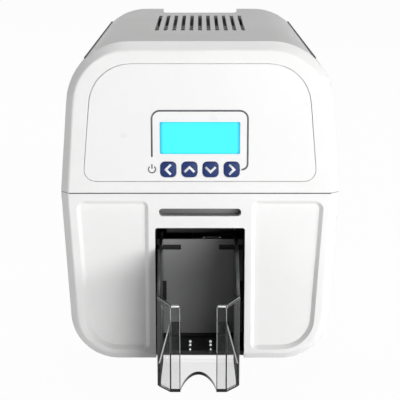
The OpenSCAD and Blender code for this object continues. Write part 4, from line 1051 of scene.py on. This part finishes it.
@dataclass
class ControlPanel:
    """Display, keys and printed marks of the front panel."""

    key_side: float = 12.1
    key_pitch: float = 16.24
    key_z: float = 158.2
    key_proud: float = 0.6
    key_round: float = 3.9
    skirt: float = 0.6
    arrow_reach: float = 1.95
    arrow_wide: float = 3.85
    arrow_line: float = 1.75
    line: float = 1.35
    line_x: float = -36.9
    power_z: float = 158.3
    power_radius: float = 2.75
    power_line: float = 0.95
    print_y: Flat = (0.05, -0.1)

    def build(self) -> None:
        """Dresses the panel's nodes and adds its keys and marks."""
        low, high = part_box("lcd_window")
        middle = (low.z + high.z) / 2
        dress(WHITE_FASCIA, "control_fascia")
        dress(Screen("display_glow", glow=(0.055, 1.0, 1.0), rim=(0.01, 0.42, 0.78),
                     half_width=high.x, half_height=high.z - middle, middle=middle), "lcd_window")
        dress(BLACK, "lcd_module")
        dress(Board("keypad_laminate", top=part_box("keypad_board")[0].z + 0.02), "keypad_board")
        self.frame_line()
        self.power_mark()
        for index, side in enumerate(("left", "up", "down", "right")):
            self.key(index, side)

    def frame_line(self) -> None:
        """Adds the printed line that runs round the display and hooks in beside the last key."""
        form = Form()
        path = [(self.line_x, 168.0), (self.line_x, 203.8), (36.6, 203.8), (36.6, 158.0),
                (32.0, 158.0)]
        form.strip(Plane.FACE, path, self.print_y, {1: 6.2, 2: 6.2, 3: 4.5}, 8)
        form.settle("panel_line", "cover", GREY_INK, thick=self.line)

    def power_mark(self) -> None:
        """Adds the power symbol: a broken ring and an upright stroke."""
        x, z, r = self.line_x, self.power_z, self.power_radius
        form = Form()
        ring = [(x + r * math.sin(a), z + r * math.cos(a)) for a in fan(38, 322)]
        form.strip(Plane.FACE, ring, self.print_y)
        form.strip(Plane.FACE, [(x, z + 0.4), (x, z + 4.0)], self.print_y)
        form.settle("power_mark", "cover", GREY_INK, thick=self.power_line)

    def key(self, index: int, side: str) -> None:
        """Adds one key with its arrow.

        Args:
            index: Place of the key from the left.
            side: Name of the direction that it points in.
        """
        x, z, proud = (index - 1.5) * self.key_pitch, self.key_z, self.key_proud
        back = local(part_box(f"key_{side}"))[1].y
        corners = dict.fromkeys(range(4), self.key_round)
        cap = Form()
        for grow, depth, soft in ((0.0, (-proud, back), 0.35), (self.skirt, (2.8, 4.0), 0.15)):
            half = self.key_side / 2 + grow
            square = rectangle(x - half, z - half, x + half, z + half)
            cap.sheet(Plane.FACE, square, depth, corners, 8, soft)
        cap.settle(f"cap_{side}", f"{side}_key", NAVY, replaces=[f"key_{side}"])
        u, v = {"left": (-1, 0), "up": (0, 1), "down": (0, -1), "right": (1, 0)}[side]
        reach, wide = self.arrow_reach, self.arrow_wide
        first, last = ((x - u * reach + v * k, z - v * reach + u * k) for k in both(wide))
        arrow = Form()
        arrow.strip(Plane.FACE, [first, (x + u * reach, z + v * reach), last],
                    (-proud + 0.05, -proud - 0.14))
        arrow.settle(f"arrow_{side}", f"{side}_key", WHITE_INK, thick=self.arrow_line)


class Clad(IntEnum):
    """Numbers of the clear tray's finishes, in the order in which it is given them."""

    SHEET = 0
    WALL = 1
    # The cut edges (numbers 2 and 7) carry a painted reflection, the tips and lines (3 and 4) a
    # painted highlight.
    EDGE_PAINTED_LIGHT = 2
    TIP = 3
    LINE_PAINTED_HIGHLIGHT = 4
    FLOOR = 5
    HAIR = 6
    OUTER_PAINTED_LIGHT = 7


@dataclass
class StackerTray:
    """Clear tray that catches the printed cards."""

    middle: float = -1.2
    half: float = 31.1
    front: float = -62.0
    low: float = 0.6
    foot: float = 0.62
    high: float = 7.8
    thick: float = 2.6
    back: float = 43.5
    step_y: float = 1.0
    corner_y: float = -49.0
    corner_round: float = 3.4
    post_in: float = 13.5
    post_out: float = 21.1
    post_top: float = 68.5
    rim: float = 71.5
    rear_top: float = 97.5
    knee_y: float = -2.0
    cut: float = 36.0
    window_low: float = 19.0
    window_high: float = 55.5
    pane: float = 1.3
    rail: float = 2.0
    edge: float = 0.65
    pip_x: Flat = (-7.9, 8.5)
    pip_rows: tuple[Flat, ...] = ((21.5, 1.1), (13.5, 1.0), (2.8, 0.65))

    @property
    def inner(self) -> float:
        """Distance from the middle to the side walls' inner faces."""
        return self.half - self.thick

    def build(self) -> None:
        """Builds the tray and its guide pips."""
        form = Form()
        self.floor(form)
        for side in (-1, 1):
            self.wall(form, side)
            self.post(form, side)
            self.corner(form, side)
        bmesh.ops.translate(form.bm, verts=form.bm.verts, vec=(self.middle, 0.0, 0.0))
        form.settle("clear_tray", "tray", TRAY_SHEET, TRAY_WALL, TRAY_EDGE_PAINTED_LIGHT, TRAY_PAINTED_HIGHLIGHT_TIP, TRAY_PAINTED_HIGHLIGHT_LINE,
                    TRAY_FLOOR, TRAY_HAIR, TRAY_OUTER_PAINTED_LIGHT, replaces=["stacker_tray"], angle=25.0)
        self.pips()

    def floor(self, form: Form) -> None:
        """Adds the floor with its arched finger cut, the raised rear floor and the step to it.

        Args:
            form: Mesh that they are added to.
        """
        t, inner = self.thick, self.inner
        arch = [(self.post_in * math.sin(a), self.front + self.cut * max(0.0, math.cos(a)) ** 1.5)
                for a in fan(-90, 90)]
        outline = [(-self.post_out, self.front), *arch, (self.post_out, self.front),
                   (self.half, self.corner_y), (self.half, self.step_y),
                   (-self.half, self.step_y), (-self.half, self.corner_y)]
        rounds = {len(outline) - k: self.corner_round for k in (4, 1)}
        # the floor's cut edges carry the painted reflection, dark at this height
        made = form.sheet(Plane.FLOOR, outline, (self.low, self.low + t), rounds,
                          finish=Clad.FLOOR, rim=Clad.EDGE_PAINTED_LIGHT)
        form.paint_towards(BACK, 0.9, Clad.FLOOR, made)
        raised = rectangle(-inner, self.step_y, inner, self.back)
        form.sheet(Plane.FLOOR, raised, (self.high, self.high + t))
        riser = rectangle(-inner, self.low + t, inner, self.high)
        start = self.step_y - 0.6
        form.sheet(Plane.FACE, riser, (start, start + t), soft=0.3, finish=Clad.FLOOR)

    def wall(self, form: Form, side: int) -> None:
        """Adds one side wall, cut to the slanted rim, and the rib at its front.

        Args:
            form: Mesh that they are added to.
            side: -1 for the left, 1 for the right.
        """
        step, inner = self.step_y + self.thick, self.inner
        outline = [(self.corner_y, self.foot), (step, self.foot), (step, self.high),
                   (self.back, self.high), (self.back, self.rear_top),
                   (self.knee_y, self.rear_top), (self.corner_y, self.rim)]
        reach = sorted((side * self.half, side * inner))
        form.sheet(Plane.SIDE, outline, tuple(reach), {4: 2.0, 5: 12.0, 6: 1.5}, 4, 0.3,
                   Clad.WALL, Clad.HAIR, Clad.HAIR)
        rib = [(inner + 0.2, self.low + 2.0), (inner + 0.2, self.rim - 4.0),
               (inner - 2.0, self.rim - 6.0), (inner - 2.0, 20.0), (inner - 0.6, 9.0)]
        form.sheet(Plane.FACE, [(side * x, z) for x, z in rib],
                   (self.corner_y + 0.1, self.corner_y + 2.2), soft=0.25, finish=Clad.HAIR)

    def post(self, form: Form, side: int) -> None:
        """Adds one front post with its cut edges, which carry a painted reflection, and its top,
        painted white as a highlight.

        Args:
            form: Mesh that it is added to.
            side: -1 for the left, 1 for the right.
        """
        front, back, top = self.front, self.front + self.thick, self.post_top
        low, high = sorted((side * self.post_in, side * self.post_out))
        form.sheet(Plane.FACE, rectangle(low, self.foot, high, top), (front + 0.05, back),
                   {2: 0.8, 3: 0.8}, 3, 0.2, Clad.SHEET, Clad.HAIR, Clad.HAIR)
        # painted reflection on the post's cut edges, and a painted highlight on its top bar
        for start, end in ((low, low + self.edge), (high - self.edge, high)):
            outer = abs(start + end) > self.post_in + self.post_out
            form.block((start, front, self.low), (end, back, top - 1.4), 0.2,
                       finish=Clad.OUTER_PAINTED_LIGHT if outer else Clad.EDGE_PAINTED_LIGHT)
        form.block((low + 0.7, front, top - 1.35), (high - 0.7, back, top + 0.02), 0.4,
                   finish=Clad.TIP)

    def corner(self, form: Form, side: int) -> None:
        """Adds the slanted panel and the rail between a front post and a side wall, with painted
        highlights on the window's cut and the rail's rounding.

        Args:
            form: Mesh that they are added to.
            side: -1 for the left, 1 for the right.
        """
        run = Vector((self.half - self.post_out, self.corner_y - self.front, 0.0))
        near, length = 0.4, run.length
        far = length - 1.6
        before = set(form.bm.verts)
        panel = [(near, self.foot), (far, self.foot), (far, self.window_low),
                 (near, self.window_high)]
        panes = form.sheet(Plane.FACE, panel, (0.0, self.pane), rim=Clad.EDGE_PAINTED_LIGHT)
        # painted highlight on the upward faces of the window's cut
        form.paint_towards(UP, 0.15, Clad.TIP, panes)
        rail = [(near, self.post_top - self.rail), (length, self.rim - self.rail),
                (length, self.rim), (near, self.post_top)]
        # painted highlight along the rail's rounding
        form.sheet(Plane.FACE, rail, (0.0, self.thick), soft=0.3, finish=Clad.WALL, trim=Clad.LINE_PAINTED_HIGHLIGHT)
        made = list(set(form.bm.verts) - before)
        turn = Matrix.Rotation(math.atan2(run.y, run.x), 3, "Z")
        bmesh.ops.rotate(form.bm, verts=made, cent=(0, 0, 0), matrix=turn)
        bmesh.ops.translate(form.bm, verts=made, vec=(self.post_out, self.front, 0.0))
        if side < 0:
            bmesh.ops.scale(form.bm, verts=made, vec=(-1, 1, 1))

    def pips(self) -> None:
        """Adds the pips that the cards slide on, with a painted glint that glows white."""
        form = Form()
        for x in self.pip_x:
            for y, r in self.pip_rows:
                dome = [(0, 1.5), (r * 0.5, 1.35), (r * 0.87, 0.8), (r, -0.1), (0, -0.2)]
                form.revolve(dome, (x, y, self.high + self.thick), UP, 16)
        form.settle("guide_pips", "tray", PIP_PAINTED_GLINT)


@dataclass
class Mechanism:
    """Card path, ribbon, print head, boards and the cooling fan."""

    pitch: float = 56.0
    pick_y: float = 292.0
    roller_z: float = 97.0
    shaft_x: float = 43.5
    contacts: int = 8
    contact_pitch: float = 1.02
    pin_x: float = 8.5
    plate_x: float = 48.5
    plate_y: tuple[float, ...] = (70.0, 150.0, 230.0)
    board_x: float = 32.0
    spring_x: float = 20.0

    def build(self) -> None:
        """Dresses the nodes of the mechanism and adds its small pieces."""
        dress(STEEL, "chassis_left", "chassis_right", "head_bracket")
        dress(BLACK, "card_bed", "power_inlet", "power_rocker", "fan_frame", "fan_rotor")
        dress(BRIGHT, "usb_socket", "network_socket")
        dress(MAGNET, "feed_motor")
        dress(BRASS, "feed_pinion")
        dress(CLEANER, "cleaning_roller")
        dress(SPOOL, "supply_spool", "takeup_spool")
        dress(HEAD, "print_head")
        dress(ALUMINIUM, "heat_sink")
        dress(ROLLER_RUBBER, "exit_pinch", *(f"{name}_roller" for name in ROLLERS))
        dress(RESIN, *(f"{name}_gear" for name in ROLLERS),
              *(f"idler_{name}" for name in ("one", "two", "three", "four")))
        dress(Board("main_laminate", top=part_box("main_board")[0].z + 0.0077), "main_board")
        for node in ("supply_film", "takeup_film"):
            dress(self.film(node), node)
        self.shaft_ends()
        self.sockets()
        self.plate_screws()
        self.head_springs()

    def film(self, node: str) -> Film:
        """The finish of a roll of film, with its rings round the roll's middle."""
        low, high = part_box(node)
        return Film(f"{node}_wound", *((low + high) / 2).yz)

    def shaft_ends(self) -> None:
        """Adds bright shaft ends with their retaining rings outside the right side plate."""
        end = [(0, 2.5), (2.2, 2.5), (3.04, 1.9), (3.04, 1.3), (2.7, 1.2), (2.7, 0.9),
               (4.6, 0.9), (4.6, 0.3), (3.04, 0.3)]
        for k, name in enumerate(ROLLERS):
            y = self.pick_y - self.pitch * (len(ROLLERS) - 1 - k)
            form = Form()
            form.revolve(end, (self.shaft_x, y, self.roller_z), RIGHT, 28)
            form.settle(f"{name}_ring", f"{name}_drive", BRIGHT)

    def sockets(self) -> None:
        """Adds the contacts in the data sockets, and the power pin with its ring."""
        low, high = local(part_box("usb_socket"))
        x, back, z = (low.x + high.x) / 2, high.y, low.z
        form = Form()
        form.block((x - 2.8, back - 8.0, z + 3.6), (x + 2.8, back - 1.2, z + 6.4), 0.3)
        low, high = local(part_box("network_socket"))
        for k in range(self.contacts):
            x = (low.x + high.x) / 2 - 4.1 + k * self.contact_pitch
            form.block((x, back - 13.0, z + 8.6), (x + 0.4, back - 4.0, z + 9.2), 0.1, 1, 1)
        form.settle("socket_contacts", "case", BLACK, BRASS)
        low, high = local(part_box("power_inlet"))
        middle = (low + high) / 2
        place = (middle.x + self.pin_x, high.y, middle.z)
        pin = Form()
        pin.revolve([(0.8, -7.4), (1.0, -7.3), (1.0, -2.4), (0.5, -2.0), (0, -1.95)], place,
                    BACK, 16)
        pin.revolve([(3.35, -1.5), (3.35, 0.12), (4.1, 0.12), (4.3, -0.3)], place, BACK, 28)
        pin.settle("inlet_pin", "case", BRIGHT)

    def plate_screws(self) -> None:
        """Adds the screws that hold the side plates and the board."""
        form = Form()
        for x in both(self.plate_x):
            for y in self.plate_y:
                form.screw((x, y, 10.0), UP, 2.4)
        low, high = local(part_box("main_board"))
        for x in both(self.board_x):
            for y in (low.y + 5.0, high.y - 6.0):
                form.screw((x, y, low.z + 7.6), UP, 2.2)
        form.settle("frame_screws", "case", BRIGHT, BLACK)

    def head_springs(self) -> None:
        """Adds the springs that press the print head down."""
        form = Form()
        low, high = local(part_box("heat_sink"))
        for x in both(self.spring_x):
            form.coil((x, (low.y + high.y) / 2, high.z + 2.2), 3.2, wire=0.45, rise=21.0, turns=7)
        form.settle("head_springs", "cover", BRIGHT)


@dataclass
class Studio:
    """Pale floor, soft lights and the camera."""

    lens: float = 117.15
    sensor: float = 36.0
    away: float = 978.4
    up: float = 369.6
    tilt: float = 76.462
    floor_half: float = 12.0
    floor_white: float = 0.965
    world_light: float = 0.15

    def build(self) -> None:
        """Sets up everything that isn't part of the printer."""
        middle = (0.0, 0.0, 0.13)
        self.camera()
        self.floor()
        self.world()
        self.lamp("key", (1.25, -1.8, 0.2), (0.0, -0.16, 0.12), size=(2.1, 0.45), power=45.0)
        self.lamp("roof", (0.1, 0.9, 2.4), middle, size=(1.6, 1.6), power=31.0)
        self.lamp("side", (-2.4, -0.9, 0.6), middle, size=(1.2, 1.2), power=6.5)
        self.lamp("rear", (-1.7, 2.2, 0.4), (0.0, 0.14, 0.13), size=(1.2, 0.9), power=12.0)
        bpy.context.scene.view_settings.view_transform = "Standard"

    def camera(self) -> None:
        """Adds the camera in front of the face, looking down a little."""
        data = bpy.data.cameras.new("camera")
        data.lens, data.sensor_width = self.lens, self.sensor
        data.dof.use_dof = False
        eye = show("camera", data)
        eye.location = (0.0, FACE_Y - self.away * MM, self.up * MM)
        eye.rotation_euler = (math.radians(self.tilt), 0.0, 0.0)
        bpy.context.scene.camera = eye

    def floor(self) -> None:
        """Adds the floor, white to the camera with a light shadow of the printer."""
        bm = bmesh.new()
        bmesh.ops.create_grid(bm, x_segments=1, y_segments=1, size=self.floor_half)
        mesh = bpy.data.meshes.new("floor")
        bm.to_mesh(mesh)
        bm.free()
        plane = show("floor", mesh)
        s = Shader("floor_paper")
        s.set(Base_Color=s.blend(s.noise(3.0), (0.8, 0.8, 0.8), (0.84, 0.84, 0.84)), Roughness=0.9)
        ray = s.node("ShaderNodeLightPath")
        seen = s.wire(ray, "Is Camera Ray").at_least(s.wire(ray, "Is Glossy Ray"))
        share = seen.at_least(s.wire(ray, "Is Transmission Ray")) * self.floor_white
        paper = s.mix(share, s.wire(s.base), s.glow("Emission", 1.0))
        s.link(s.output.inputs["Surface"], paper)
        mesh.materials.append(s.material)

    def world(self) -> None:
        """Sets a pale surrounding light that looks white to the camera."""
        world = bpy.data.worlds.new("studio")
        bpy.context.scene.world = world
        t = Tree(world)
        seen = t.wire(t.node("ShaderNodeLightPath"), "Is Camera Ray")
        dim, white = (t.glow("Background", strength) for strength in (self.world_light, 1.0))
        t.node("ShaderNodeOutputWorld", None, t.mix(seen, dim, white))

    def lamp(self, name: str, place: Point, target: Point, size: Flat, power: float) -> None:
        """Adds a soft lamp.

        Args:
            name: Name of the lamp.
            place: Its place, in metres.
            target: Point that it looks at.
            size: Width and height of the lamp, in metres.
            power: Power in watts.
        """
        data = bpy.data.lights.new(name, "AREA")
        data.shape, data.energy = "RECTANGLE", power
        data.size, data.size_y = size
        lamp = show(name, data)
        lamp.location = place
        lamp.rotation_euler = (Vector(target) - Vector(place)).to_track_quat("-Z", "Y").to_euler()


def main() -> None:
    """Builds the studio and every sub-assembly in order."""
    logging.basicConfig(level=logging.INFO, format="%(name)s %(message)s")
    for part in (Studio(), Housing(), ControlPanel(), StackerTray(), Mechanism()):
        LOG.info("building %s", type(part).__name__)
        part.build()


if __name__ == "__main__":
    main()
